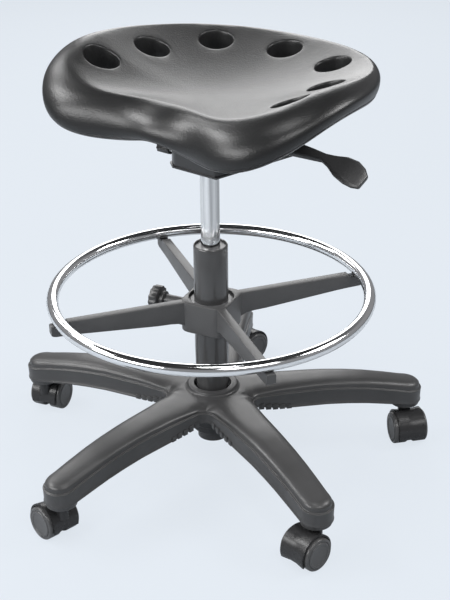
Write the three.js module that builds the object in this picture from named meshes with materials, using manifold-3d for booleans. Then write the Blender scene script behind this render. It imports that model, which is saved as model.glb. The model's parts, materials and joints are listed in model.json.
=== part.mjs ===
// Perch stool: moulded saddle seat, tilt mechanism, gas column, foot ring and five-legged base
// on twin-wheel casters. Millimetres, +Z up, seat front towards -Y, floor at z = 0.
import * as THREE from 'three';
import { mergeVertices } from 'three/addons/utils/BufferGeometryUtils.js';
import Module from 'manifold-3d';

const wasm = await Module();
wasm.setup();

// Clearances
const GAP = 0.3;
const OVERRUN = 2;

// Seat pad: plan radius, dish and rim are functions of the angle from the front
const SEAT_UNDERSIDE_HEIGHT = 548;
const SEAT_RADIUS = 242;
const SEAT_SETBACK = 13.6;
const SEAT_THICKNESS = 37.6;
const SEAT_DISH_HEIGHT = SEAT_UNDERSIDE_HEIGHT + SEAT_THICKNESS;
const SEAT_DISH_SHARE = 0.7;
const SEAT_RIM_RISE = 46.5;
const SEAT_UNDERSIDE_RISE = 52;
const SEAT_EDGE_INSET = 21;
const SEAT_FLAT_RADIUS = 88;
const SEAT_STEPS = 44;
const SEAT_RADIUS_SHARES = [
  [0, 0.628], [14, 0.616], [28, 0.7], [42, 0.925], [56, 1], [75, 0.998], [100, 0.968], [125, 0.951],
  [150, 0.973], [180, 1.012],
];
const SEAT_CREST_SHARES = [[0, 0.396], [22, 0.331], [45, 0.357], [80, 1], [120, 0.882], [180, 0.686]];
const SEAT_EDGE_SHARES = [[0, 0.052], [22, -0.056], [45, 0.138], [80, 0.677], [120, 0.617], [180, 0.073]];
const SEAT_BOTTOM_SHARES = [[0, 0.135], [22, -0.077], [45, 0.067], [80, 0.996], [120, 0.723], [180, 0.227]];
const SEAT_CREST_PLACE_SHARES = [[0, 0.64], [22, 0.6], [45, 0.836], [80, 0.815], [120, 0.94], [180, 0.85]];
const DISH_RING_SHARES = [0.22, 0.42, 0.6, 0.76, 0.89, 1];
const NOSE_RING_SHARES = [0.3, 0.56, 0.78, 0.93, 1];
const SIDE_RING_SHARES = [[0.083, 0.35], [0.29, 0.7], [0.58, 0.92], [1, 1]];
const UNDER_FLAT_SHARE = 0.66;
const UNDER_MIDDLE_SHARE = 0.5;
const UNDER_RISE_SHARE = 0.4;
const SEAT_HOLE_DIAMETER = 48;
// rows: angle from the back, reach in seat radii; each but the first is mirrored
const SEAT_HOLE_SHARES = [[0, 0.707], [36.6, 0.727], [72, 0.669], [106.8, 0.711]];

// Seat insert, plate and bolts
const INSERT_RADIUS = 78;
const INSERT_THICKNESS = 5;
const INSERT_SETBACK = 22;
const PLATE_WIDTH = 160;
const PLATE_FRONT = 55;
const PLATE_REAR = 105;
const PLATE_THICKNESS = 3;
const BOLT_HALF_SPACING = 50;
const BOLT_FRONT = 22;
const BOLT_REAR = 66;
const BOLT_RADIUS = 3;
const BOLT_HEAD_RADIUS = 6;
const BOLT_HEAD_HEIGHT = 5;
const BOLT_BITE = 4;
const EAR_OFFSET = 29;
const EAR_THICKNESS = 4;
const EAR_RADIUS = 8;
const EAR_TOP_FRONT = 31;
const EAR_TOP_REAR = 10;

// Mechanism housing: pressed tray with a small lip round its floor
const TRAY_DROP = 10;
const TRAY_DEPTH = 53;
const TRAY_RIM = SEAT_UNDERSIDE_HEIGHT - TRAY_DROP;
const TRAY_FLOOR = TRAY_RIM - TRAY_DEPTH;
const TRAY_WALL = 2.5;
const TRAY_LIP = 2;
const TRAY_WIDTH = 154;
const TRAY_LENGTH = 143;
const TRAY_OUTLINE_SHARES = [[-0.214, -0.301], [0.292, -0.301], [0.526, 0.699], [-0.474, 0.699], [-0.305, -0.217]];
const LUG_THICKNESS = 2.5;
const LUG_WIDTH = 12;
const LUG_RISE = 5;

// Tilt axle, rest buffer and the small fluted knob
const AXLE_RADIUS = 4;
const AXLE_FORWARD = 26;
const AXLE_RISE = 19.5;
const AXLE_HEIGHT = TRAY_FLOOR + AXLE_RISE;
const AXLE_LEFT_END = 56;
const AXLE_RIGHT_END = 66;
const BUFFER_RADIUS = 10;
const BUFFER_SETBACK = 80;
const LOCK_KNOB_RADIUS = 8;
const LOCK_KNOB_NEAR = 48.5;
const LOCK_KNOB_LENGTH = 21.5;
const LOCK_KNOB_FLUTES = 8;
const LOCK_KNOB_FLUTE_DEPTH = 1;

// Release lever and its handle
const LEVER_OFFSET = 15;
const LEVER_WIDTH = 12;
const LEVER_THICKNESS = 4;
const LEVER_END = 120;
const LEVER_FINGER = 9;
const PIVOT_PLACE = 48;
const PIVOT_RADIUS = 2;
const PIVOT_DROP = 3.5;
const PIVOT_BLOCK_LENGTH = 8;
const HANDLE_LAP = 20;
const HANDLE_LENGTH = 148;
const HANDLE_ROOT = LEVER_END - HANDLE_LAP;
const HANDLE_TIP = HANDLE_ROOT + HANDLE_LENGTH;
const HANDLE_DROP = 24;
const HANDLE_HALF_WIDTH = 23;
const HANDLE_HALF_THICKNESS = 5.5;
const HANDLE_TILT = 20;
// rows: place along the handle, drop, width, thickness, turn
const HANDLE_SHARES = [
  [0, 0.04, 0.565, 1, 0.5], [0.27, 0.04, 0.543, 0.95, 0.7], [0.44, 0.08, 0.413, 0.85, 0.9],
  [0.574, 0.125, 0.304, 0.76, 1], [0.649, 0.21, 0.478, 0.73, 1], [0.757, 0.375, 0.87, 0.73, 1],
  [0.865, 0.58, 1, 0.73, 1], [0.946, 0.81, 0.87, 0.65, 1], [1, 1, 0.565, 0.5, 1],
];
const HANDLE_SECTION_SHARES = [[1, -0.35], [1, 0.35], [0.78, 1], [-0.78, 1], [-1, 0.35], [-1, -0.35], [-0.78, -1], [0.78, -1]];

// Casters
const WHEEL_RADIUS = 25;
const WHEEL_INNER_FACE = 5.2;
const WHEEL_OUTER_FACE = 27;
const WHEEL_EDGE = 1.6;
const WHEEL_CAP_RADIUS = 19.5;
const WHEEL_CAP_RISE = 0.8;
const WHEEL_SIDES = 20;
const CASTER_AXLE_RADIUS = 3;
const CASTER_AXLE_HALF_LENGTH = 20;
const CASTER_TRAIL = 20;
const HOOD_CLEARANCE = 1.6;
const HOOD_WALL = 2.1;
const HOOD_INNER_RADIUS = WHEEL_RADIUS + HOOD_CLEARANCE;
const HOOD_RADIUS = HOOD_INNER_RADIUS + HOOD_WALL;
const HOOD_HALF_WIDTH = 21.5;
const HOOD_WEB_HALF_WIDTH = 4.8;
const HOOD_WEB_RADIUS = 11;
const HOOD_TRAILING_FOOT = 13;
const HOOD_LEADING_FOOT = 17;
const HOOD_SIDES = 20;
const HOOD_BOSS_RADIUS = 9.5;
const HOOD_BOSS_RISE = 5.5;
const HOOD_BOSS_DEPTH = 25.5;
const HOOD_BOSS_TOP = WHEEL_RADIUS * 2 + HOOD_BOSS_RISE;
const HOOD_BOSS_FOOT = HOOD_BOSS_TOP - HOOD_BOSS_DEPTH;
const STEM_RADIUS = 5.5;
const STEM_LENGTH = 36.5;
const STEM_TOP = HOOD_BOSS_TOP + STEM_LENGTH;
const STEM_NECK_RADIUS = 8;
const STEM_NECK_HEIGHT = 2;
const SPIGOT_RADIUS = 3.5;
const SPIGOT_LENGTH = 13.5;
const SPIGOT_FOOT = HOOD_BOSS_TOP - SPIGOT_LENGTH;
// swivel of each caster, azimuth of its trail, beginning with the leg at LEG_AZIMUTH
const CASTER_TRAIL_AZIMUTHS = [-40.7, 78, 103.7, 170.3, -99.4];

// Base star
const LEG_COUNT = 5;
const LEG_AZIMUTH = 47.34;
const LEG_REACH = 307.7;
const LEG_DEPTH = 65.5;
const LEG_HALF_WIDTH = 36;
const LEG_WALL = 4;
// rows: place along the leg, heights of crown, shoulder and lower edge over the boss foot, half width
const LEG_SHARES = [
  [0.065, 0.97, 0.877, 0.602, 1.06], [0.195, 0.985, 0.886, 0.587, 1],
  [0.374, 1, 0.869, 0.428, 0.861], [0.569, 0.985, 0.847, 0.396, 0.778],
  [0.78, 0.877, 0.733, 0.294, 0.722], [1, 0.665, 0.512, 0.11, 0.667],
];
const LEG_SIDE_SHARE = 0.95;
const LEG_BROW_SHARES = [0.72, 0.74];
const HUB_DISC_RADIUS = 56;
const HUB_DISC_DROP = 2;
const HUB_DISC_DEPTH = 24;
const HUB_CORE_RADIUS = 31.5;
const HUB_DEPTH = 76;
const COLLAR_RADIUS = 38;
const COLLAR_RISE = 4;
const HUB_BORE_RADIUS = 28;
const HUB_INSERT_DROP = 16;
const RIB_THICKNESS = 3;
const RIB_DEPTH = 38;
const RIB_PLACE_SHARES = [0.24, 0.3, 0.36, 0.55, 0.75];
const DEEP_RIBS = 3;
const BOSS_RADIUS = 24;
const BOSS_CLEARANCE = 3;
const BOSS_HEIGHT = 43.5;
const BOSS_EDGE = 1.5;
const BOSS_DOME_SHARES = [[0.6, 0.95], [0.93, 0.72]];
const BOSS_FOOT = HOOD_BOSS_TOP + BOSS_CLEARANCE;
const BOSS_TOP = BOSS_FOOT + BOSS_HEIGHT;
const LEG_TOP = BOSS_FOOT + LEG_DEPTH;
const RIB_FOOT = LEG_TOP - RIB_DEPTH;
const HUB_DISC_TOP = LEG_TOP - HUB_DISC_DROP;
const HUB_DISC_FOOT = HUB_DISC_TOP - HUB_DISC_DEPTH;
const COLLAR_TOP = LEG_TOP + COLLAR_RISE;
const HUB_FOOT = COLLAR_TOP - HUB_DEPTH;
const HUB_INSERT_TOP = COLLAR_TOP - HUB_INSERT_DROP;

// Gas column
const POST_RADIUS = 25.5;
const POST_WALL = 2.5;
const POST_NECK_DROP = 3;
const POST_TAPER_LENGTH = 65;
const POST_SLEEVE_LENGTH = 170;
const POST_NECK_RADIUS = 24;
const POST_FOOT_DROP = 16;
const POST_FOOT_RADIUS = 23.4;
const POST_RIM_ROUND = 1.2;
const FOOT_PLATE_RISE = 5;
const FOOT_PLATE_THICKNESS = 3;
const FOOT_PLATE_HOLE = 6;
const GUIDE_LENGTH = 70;
const GUIDE_RECESS = 3;
const CYLINDER_RADIUS = 14;
const CYLINDER_FOOT_RISE = 10;
const CYLINDER_WALL = 1.5;
const CYLINDER_END_THICKNESS = 6;
const CYLINDER_RISE = 39;
const CYLINDER_TAPER_LENGTH = 38;
const CYLINDER_TOP = TRAY_FLOOR + CYLINDER_RISE;
const CYLINDER_TAPER_START = CYLINDER_TOP - CYLINDER_TAPER_LENGTH;
const CYLINDER_TOP_RADIUS = 12.9;
const CYLINDER_HEAD_THICKNESS = 24;
const CUP_RADIUS = 19;
const CUP_DROP = 3;
const CUP_TOP = CYLINDER_TOP - CUP_DROP;
const ROD_RADIUS = 5;
const ROD_FOOT_RISE = 1.5;
const ROD_BITE = 6;
const PISTON_DROP = 60;
const PISTON_THICKNESS = 10;
const BEARING_THICKNESS = 4;
const BEARING_RADIUS = 12;
const ROD_FLANGE_THICKNESS = 2.5;
const ROD_FLANGE_RADIUS = 8;
const CLIP_THICKNESS = 1.6;
const CLIP_GROOVE_DEPTH = 1.2;
const CLIP_RADIUS = 8.5;
const BUTTON_RADIUS = 3.7;
const BUTTON_DEPTH = 20;
const BUTTON_FOOT = CYLINDER_TOP - BUTTON_DEPTH;
const POST_NECK = COLLAR_TOP - POST_NECK_DROP;
const POST_SHOULDER = POST_NECK + POST_TAPER_LENGTH;
const POST_TOP = POST_SHOULDER + POST_SLEEVE_LENGTH;
const POST_FOOT = HUB_FOOT - POST_FOOT_DROP;
const FOOT_PLATE_HEIGHT = POST_FOOT + FOOT_PLATE_RISE;
const CYLINDER_FOOT = POST_SHOULDER + CYLINDER_FOOT_RISE;
const ROD_FOOT = POST_FOOT + ROD_FOOT_RISE;
const PISTON_FOOT = POST_TOP - PISTON_DROP;
const ROD_TOP = PISTON_FOOT + ROD_BITE;

// Foot ring and its spider
const RING_RADIUS = 235.1;
const RING_TUBE_RADIUS = 9;
const RING_RISE = 152.1;
const RING_HEIGHT = COLLAR_TOP + RING_RISE;
const RING_STEPS = 48;
const RING_SIDES = 12;
const SPIDER_DROP = 5.1;
const SPIDER_HUB_DEPTH = 49;
const SPIDER_TOP = RING_HEIGHT - SPIDER_DROP;
const SPIDER_FOOT = SPIDER_TOP - SPIDER_HUB_DEPTH;
const SPIDER_HALF_SIZE = 38;
const SPIDER_CORNER_RADIUS = 47;
const SPIDER_BORE_RADIUS = 31;
const SPIDER_RECESS_RADIUS = 33.5;
const SPIDER_RECESS_DEPTH = 4;
const SPIDER_ARM_WIDTH = 14;
const SPIDER_ARM_LAP = 10.9;
const SPIDER_ARM_REACH = RING_RADIUS + SPIDER_ARM_LAP;
const SPIDER_ARM_DEPTH = 33;
const SPIDER_AZIMUTH = 57;
const BUSH_SILL = 2;
// rows: place along the arm, depth below its top
const ARM_UNDERSIDE_SHARES = [[0.16, 1.3], [0.2, 1.12], [0.28, 1], [0.35, 0.98], [0.82, 0.7], [0.97, 0.66], [1, 0.58]];
const ARM_SEAT_SHARE = 0.917;
const CLAMP_AZIMUTH = 192;
const CLAMP_DROP = 22;
const CLAMP_HEIGHT = SPIDER_TOP - CLAMP_DROP;
const SCREW_RADIUS = 5;
const SCREW_END = 84;
const KNOB_RADIUS = 20;
const KNOB_THICKNESS = 14;
const KNOB_FACE = 98;
const KNOB_NECK_RADIUS = 9;
const KNOB_STEP_RADIUS = 13;
const KNOB_STEP_LENGTH = 7;
const KNOB_NECK_LENGTH = 38;
const KNOB_LOBES = 12;
const KNOB_LOBE_DEPTH = 1.4;

// Colours and surface values
const FOAM = { color: 0x1d1e20, roughness: 0.5, metalness: 0 };
const BLACK_PLASTIC = { color: 0x232427, roughness: 0.45, metalness: 0 };
const BLACK_NYLON = { color: 0x2c2d30, roughness: 0.5, metalness: 0 };
const BLACK_PAINT = { color: 0x151618, roughness: 0.4, metalness: 0.2 };
const CHROME = { color: 0xd9dbdd, roughness: 0.08, metalness: 1 };
const STEEL = { color: 0x9a9ca0, roughness: 0.35, metalness: 1 };
const RUBBER = { color: 0x141414, roughness: 0.9, metalness: 0 };
const TREAD = { color: 0x19191b, roughness: 0.6, metalness: 0 };

const FULL_TURN = 360;
const HALF_TURN = FULL_TURN / 2;
const radians = THREE.MathUtils.degToRad;

// --- geometry helpers -------------------------------------------------------

function signedVolume(geometry) {
  const place = geometry.attributes.position;
  const index = geometry.index;
  const a = new THREE.Vector3();
  const b = new THREE.Vector3();
  const c = new THREE.Vector3();
  let volume = 0;
  for (let i = 0; i < index.count; i += 3) {
    a.fromBufferAttribute(place, index.getX(i));
    b.fromBufferAttribute(place, index.getX(i + 1));
    c.fromBufferAttribute(place, index.getX(i + 2));
    volume += a.dot(b.cross(c));
  }
  return volume;
}

// One closed skin: shared vertices merged, no collapsed faces, faces pointing out
function weld(geometry) {
  const bare = geometry.clone();
  bare.deleteAttribute('normal');
  bare.deleteAttribute('uv');
  const merged = mergeVertices(bare);
  const source = merged.index.array;
  const index = [];
  for (let i = 0; i < source.length; i += 3) {
    const [a, b, c] = [source[i], source[i + 1], source[i + 2]];
    if (a !== b && b !== c && c !== a) index.push(a, b, c);
  }
  merged.setIndex(index);
  if (signedVolume(merged) < 0) merged.setIndex(index.reverse());
  merged.computeVertexNormals();
  return merged;
}

function toSolid(geometry) {
  const welded = weld(geometry);
  const mesh = new wasm.Mesh({
    numProp: 3,
    vertProperties: new Float32Array(welded.attributes.position.array),
    triVerts: new Uint32Array(welded.index.array),
  });
  return new wasm.Manifold(mesh);
}

function toGeometry(solid) {
  const mesh = solid.getMesh();
  const geometry = new THREE.BufferGeometry();
  geometry.setAttribute('position', new THREE.BufferAttribute(new Float32Array(mesh.vertProperties), 3));
  geometry.setIndex(new THREE.BufferAttribute(new Uint32Array(mesh.triVerts), 1));
  geometry.computeVertexNormals();
  return geometry;
}

function join(...pieces) {
  return toGeometry(pieces.map(toSolid).reduce((all, piece) => all.add(piece)));
}

function cut(piece, ...tools) {
  return toGeometry(tools.map(toSolid).reduce((left, tool) => left.subtract(tool), toSolid(piece)));
}

// Profile of [radius, height] turned about Z
function turned(profile, sides) {
  const points = profile.map(([radius, height]) => new THREE.Vector2(radius, height));
  return new THREE.LatheGeometry(points, sides).rotateX(Math.PI / 2);
}

function rod(radius, from, to, sides) {
  const geometry = new THREE.CylinderGeometry(radius, radius, to - from, sides);
  return geometry.rotateX(Math.PI / 2).translate(0, 0, (from + to) / 2);
}

function slab(outline, from, to) {
  const shape = new THREE.Shape(outline.map(([x, y]) => new THREE.Vector2(x, y)));
  return new THREE.ExtrudeGeometry(shape, { depth: to - from, bevelEnabled: false }).translate(0, 0, from);
}

function block(x0, x1, y0, y1, z0, z1) {
  const geometry = new THREE.BoxGeometry(x1 - x0, y1 - y0, z1 - z0);
  return geometry.translate((x0 + x1) / 2, (y0 + y1) / 2, (z0 + z1) / 2);
}

// Z becomes X, and Z becomes Y
const alongX = (geometry) => geometry.rotateY(Math.PI / 2);
const alongY = (geometry) => geometry.rotateX(-Math.PI / 2);

// Skin through closed rings of points, each end closed by a fan
function loft(rings) {
  const count = rings[0].length;
  const last = (rings.length - 1) * count;
  const points = rings.flat();
  const index = [];
  for (let i = 0; i < rings.length - 1; i += 1) {
    for (let j = 0; j < count; j += 1) {
      const a = i * count + j;
      const b = i * count + ((j + 1) % count);
      index.push(a, b, b + count, a, b + count, a + count);
    }
  }
  const middle = (ring) => ring.reduce((sum, p) => sum.add(p), new THREE.Vector3()).divideScalar(count);
  points.push(middle(rings[0]), middle(rings[rings.length - 1]));
  for (let j = 0; j < count; j += 1) {
    const k = (j + 1) % count;
    index.push(points.length - 2, k, j, points.length - 1, last + j, last + k);
  }
  const geometry = new THREE.BufferGeometry().setFromPoints(points);
  geometry.setIndex(index);
  return geometry;
}

// Convex outline, counter-clockwise, moved inwards by a distance
function inset(outline, distance) {
  const count = outline.length;
  const lines = outline.map(([x, y], i) => {
    const [u, v] = outline[(i + 1) % count];
    const length = Math.hypot(u - x, v - y);
    const normal = [-(v - y) / length, (u - x) / length];
    return { normal, offset: normal[0] * x + normal[1] * y + distance };
  });
  return lines.map((line, i) => {
    const before = lines[(i + count - 1) % count];
    const [a, b] = before.normal;
    const [c, d] = line.normal;
    const det = a * d - b * c;
    return [(before.offset * d - line.offset * b) / det, (a * line.offset - c * before.offset) / det];
  });
}

// Smooth value of a table of [angle, value], mirrored about 0 and 180 degrees
function smooth(table, angle) {
  const at = Math.abs(((angle + HALF_TURN + FULL_TURN) % FULL_TURN) - HALF_TURN);
  let i = 0;
  while (i < table.length - 2 && at > table[i + 1][0]) i += 1;
  const rise = (k) => (table[k + 1][1] - table[k][1]) / (table[k + 1][0] - table[k][0]);
  const slope = (k) => {
    if (k === 0 || k === table.length - 1) return 0;
    const before = table[k][0] - table[k - 1][0];
    const after = table[k + 1][0] - table[k][0];
    return (rise(k - 1) * after + rise(k) * before) / (before + after);
  };
  const width = table[i + 1][0] - table[i][0];
  const t = (at - table[i][0]) / width;
  const [start, end] = [table[i][1], table[i + 1][1]];
  const ease = t * t * (3 - 2 * t);
  const lead = t * (1 - t) * (1 - t) * slope(i) - t * t * (1 - t) * slope(i + 1);
  return start + (end - start) * ease + width * lead;
}

// Round outline with scalloped flutes
function fluted(radius, depth, flutes) {
  const steps = flutes * 4;
  return Array.from({ length: steps }, (_, i) => {
    const angle = (i / steps) * 2 * Math.PI;
    const out = radius - (depth * (1 - Math.cos(angle * flutes))) / 2;
    return [out * Math.cos(angle), out * Math.sin(angle)];
  });
}

const stool = new THREE.Group();

function add(name, geometry, look, parent = stool) {
  const mesh = new THREE.Mesh(weld(geometry), new THREE.MeshStandardMaterial(look));
  mesh.name = name;
  parent.add(mesh);
  return mesh;
}

// --- seat pad ---------------------------------------------------------------

function seatRings(angle) {
  const plan = SEAT_RADIUS * smooth(SEAT_RADIUS_SHARES, angle);
  const crest = SEAT_DISH_HEIGHT + SEAT_RIM_RISE * smooth(SEAT_CREST_SHARES, angle);
  const edge = SEAT_DISH_HEIGHT + SEAT_RIM_RISE * smooth(SEAT_EDGE_SHARES, angle);
  const bottom = SEAT_UNDERSIDE_HEIGHT + SEAT_UNDERSIDE_RISE * smooth(SEAT_BOTTOM_SHARES, angle);
  const crestPlace = plan * smooth(SEAT_CREST_PLACE_SHARES, angle);
  const rows = DISH_RING_SHARES.map((share) => [
    share * (crestPlace * share + SEAT_RADIUS * SEAT_DISH_SHARE * (1 - share)),
    SEAT_DISH_HEIGHT + (crest - SEAT_DISH_HEIGHT) * share * share,
  ]);
  NOSE_RING_SHARES.forEach((share) => rows.push([
    crestPlace + (plan - crestPlace) * share,
    edge + (crest - edge) * Math.sqrt(1 - share * share),
  ]));
  SIDE_RING_SHARES.forEach(([place, drop]) => rows.push([
    plan - SEAT_EDGE_INSET * place,
    edge - (edge - bottom) * drop,
  ]));
  const rim = rows[rows.length - 1];
  const flat = Math.min(SEAT_FLAT_RADIUS, UNDER_FLAT_SHARE * plan);
  rows.push([
    flat + (rim[0] - flat) * UNDER_MIDDLE_SHARE,
    SEAT_UNDERSIDE_HEIGHT + (rim[1] - SEAT_UNDERSIDE_HEIGHT) * UNDER_RISE_SHARE,
  ]);
  rows.push([flat, SEAT_UNDERSIDE_HEIGHT]);
  return rows;
}

function seatPad() {
  const columns = Array.from({ length: SEAT_STEPS }, (_, i) => {
    const angle = (i / SEAT_STEPS) * FULL_TURN;
    const turn = radians(angle);
    return seatRings(angle).map(([radius, height]) => (
      new THREE.Vector3(radius * Math.sin(turn), SEAT_SETBACK - radius * Math.cos(turn), height)
    ));
  });
  const rings = columns[0].map((_, row) => columns.map((column) => column[row]));
  const pad = loft(rings);
  // the first fan closes the dish at its own lowest point
  const place = pad.attributes.position;
  place.setXYZ(place.count - 2, 0, SEAT_SETBACK, SEAT_DISH_HEIGHT);
  const tools = [];
  const top = SEAT_DISH_HEIGHT + SEAT_RIM_RISE + OVERRUN;
  SEAT_HOLE_SHARES.forEach(([angle, share], i) => [1, -1].slice(0, i + 1).forEach((side) => {
    const turn = radians(HALF_TURN + angle * side);
    const reach = SEAT_RADIUS * share;
    const hole = rod(SEAT_HOLE_DIAMETER / 2, SEAT_UNDERSIDE_HEIGHT - OVERRUN, top, 14);
    tools.push(hole.translate(reach * Math.sin(turn), SEAT_SETBACK - reach * Math.cos(turn), 0));
  }));
  const pocketTop = SEAT_UNDERSIDE_HEIGHT + INSERT_THICKNESS + GAP;
  const pocket = rod(INSERT_RADIUS + GAP, SEAT_UNDERSIDE_HEIGHT - OVERRUN, pocketTop, 32);
  tools.push(pocket.translate(0, INSERT_SETBACK, 0));
  return cut(pad, ...tools);
}

add('seat_pad', seatPad(), FOAM);

const boltPlaces = [
  [-BOLT_HALF_SPACING, -BOLT_FRONT], [BOLT_HALF_SPACING, -BOLT_FRONT],
  [-BOLT_HALF_SPACING, BOLT_REAR], [BOLT_HALF_SPACING, BOLT_REAR],
];
const plateTop = SEAT_UNDERSIDE_HEIGHT - GAP;
const plateFoot = plateTop - PLATE_THICKNESS;
const boltHole = (x, y, from, to) => rod(BOLT_RADIUS + GAP, from, to, 12).translate(x, y, 0);

function seatInsert() {
  const disc = rod(INSERT_RADIUS, SEAT_UNDERSIDE_HEIGHT, SEAT_UNDERSIDE_HEIGHT + INSERT_THICKNESS, 32);
  disc.translate(0, INSERT_SETBACK, 0);
  const depth = SEAT_UNDERSIDE_HEIGHT + BOLT_BITE + GAP;
  return cut(disc, ...boltPlaces.map(([x, y]) => boltHole(x, y, SEAT_UNDERSIDE_HEIGHT - OVERRUN, depth)));
}

// Flat plate with two ears that hang down onto the tilt axle
function seatPlate() {
  const half = PLATE_WIDTH / 2;
  const plate = block(-half, half, -PLATE_FRONT, PLATE_REAR, plateFoot, plateTop);
  const outline = Array.from({ length: 9 }, (_, i) => {
    const turn = Math.PI * (1 + i / 8);
    return [EAR_RADIUS * Math.cos(turn) - AXLE_FORWARD, EAR_RADIUS * Math.sin(turn) + AXLE_HEIGHT];
  });
  const earTop = (plateFoot + plateTop) / 2;
  outline.push([-EAR_TOP_REAR, earTop], [-EAR_TOP_FRONT, earTop]);
  const ears = [-1, 1].map((side) => {
    const middle = side * EAR_OFFSET;
    const ear = slab(outline, -EAR_THICKNESS / 2, EAR_THICKNESS / 2);
    ear.applyMatrix4(new THREE.Matrix4().set(0, 0, 1, middle, 1, 0, 0, 0, 0, 1, 0, 0, 0, 0, 0, 1));
    return ear;
  });
  const bore = alongX(rod(AXLE_RADIUS + GAP, -PLATE_WIDTH, PLATE_WIDTH, 12));
  bore.translate(0, -AXLE_FORWARD, AXLE_HEIGHT);
  const holes = boltPlaces.map(([x, y]) => boltHole(x, y, plateFoot - OVERRUN, plateTop + OVERRUN));
  return cut(join(plate, ...ears), bore, ...holes);
}

add('seat_insert', seatInsert(), STEEL);
add('seat_plate', seatPlate(), BLACK_PAINT);
boltPlaces.forEach(([x, y], i) => {
  const headTop = plateFoot - GAP;
  const headFoot = headTop - BOLT_HEAD_HEIGHT;
  const bolt = turned([
    [0, headFoot], [BOLT_HEAD_RADIUS, headFoot], [BOLT_HEAD_RADIUS, headTop], [BOLT_RADIUS, headTop],
    [BOLT_RADIUS, SEAT_UNDERSIDE_HEIGHT + BOLT_BITE], [0, SEAT_UNDERSIDE_HEIGHT + BOLT_BITE],
  ], 12);
  add(`seat_bolt_${i + 1}`, bolt, STEEL).position.set(x, y, 0);
});

// --- mechanism --------------------------------------------------------------

const leverFoot = TRAY_RIM - LEVER_THICKNESS - TRAY_LIP;
const leverTop = leverFoot + LEVER_THICKNESS;
const pivotHeight = leverFoot - PIVOT_DROP;
const leverNear = LEVER_OFFSET - LEVER_WIDTH / 2;
const leverFar = LEVER_OFFSET + LEVER_WIDTH / 2;
const trayOutline = TRAY_OUTLINE_SHARES.map(([x, y]) => [x * TRAY_WIDTH, y * TRAY_LENGTH]);
const wallOutline = inset(trayOutline, TRAY_LIP);
const floorTop = TRAY_FLOOR + TRAY_WALL;

function mechanismHousing() {
  const inner = inset(wallOutline, TRAY_WALL);
  const shell = cut(
    join(slab(trayOutline, TRAY_FLOOR, floorTop), slab(wallOutline, TRAY_FLOOR + TRAY_WALL / 2, TRAY_RIM)),
    slab(inner, floorTop, TRAY_RIM + OVERRUN),
  );
  const lugEnd = PIVOT_PLACE + LUG_WIDTH;
  const lugTop = pivotHeight + LUG_RISE;
  const lugs = [leverNear - GAP - LUG_THICKNESS, leverFar + GAP].map((y) => (
    block(PIVOT_PLACE - LUG_WIDTH / 2, lugEnd, y, y + LUG_THICKNESS, TRAY_FLOOR + TRAY_WALL / 2, lugTop)
  ));
  // the lugs end inside the side wall
  const lugSpace = slab(inset(wallOutline, TRAY_WALL / 2), TRAY_FLOOR, TRAY_RIM);
  const solidLugs = lugs.map((lug) => toGeometry(toSolid(lug).intersect(toSolid(lugSpace))));
  const far = Math.max(AXLE_LEFT_END, AXLE_RIGHT_END) * 2;
  const axleBore = alongX(rod(AXLE_RADIUS + GAP, -far, far, 12)).translate(0, -AXLE_FORWARD, AXLE_HEIGHT);
  const pinBore = alongY(rod(PIVOT_RADIUS + GAP, leverNear - LEVER_WIDTH, leverFar + LEVER_WIDTH, 12));
  pinBore.translate(PIVOT_PLACE, 0, pivotHeight);
  const notch = block(
    PIVOT_PLACE, PIVOT_PLACE * 2, leverNear - GAP, leverFar + GAP, leverFoot - TRAY_LIP, TRAY_RIM + OVERRUN,
  );
  const neckHole = rod(CYLINDER_RADIUS + GAP, TRAY_FLOOR - OVERRUN, floorTop + OVERRUN, 24);
  return cut(join(shell, ...solidLugs), axleBore, pinBore, notch, neckHole);
}

add('mechanism_housing', mechanismHousing(), BLACK_PAINT);

const taperRadius = (height) => {
  const share = (height - CYLINDER_TAPER_START) / (CYLINDER_TOP - CYLINDER_TAPER_START);
  return CYLINDER_RADIUS + (CYLINDER_TOP_RADIUS - CYLINDER_RADIUS) * share;
};
const cupFoot = floorTop + GAP;
const cup = turned([
  [taperRadius(cupFoot) + GAP, cupFoot], [CUP_RADIUS, cupFoot], [CUP_RADIUS, CUP_TOP],
  [taperRadius(CUP_TOP) + GAP, CUP_TOP], [taperRadius(cupFoot) + GAP, cupFoot],
], 24);
add('taper_cup', cup, STEEL);

const tiltAxle = add('tilt_axle', alongX(rod(AXLE_RADIUS, -AXLE_RIGHT_END, AXLE_LEFT_END, 12)), STEEL);
tiltAxle.position.set(0, -AXLE_FORWARD, AXLE_HEIGHT);

const buffer = add('rest_buffer', rod(BUFFER_RADIUS, floorTop + GAP, plateFoot - GAP, 16), RUBBER);
buffer.position.set(0, BUFFER_SETBACK, 0);

function lockKnob() {
  const end = LOCK_KNOB_NEAR + LOCK_KNOB_LENGTH;
  const body = slab(fluted(LOCK_KNOB_RADIUS, LOCK_KNOB_FLUTE_DEPTH, LOCK_KNOB_FLUTES), -end, -LOCK_KNOB_NEAR);
  const bore = rod(AXLE_RADIUS + GAP, -(AXLE_RIGHT_END + GAP), -LOCK_KNOB_NEAR + OVERRUN, 12);
  return alongX(cut(body, bore));
}
add('lock_knob', lockKnob(), BLACK_PLASTIC).position.set(0, -AXLE_FORWARD, AXLE_HEIGHT);

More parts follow.
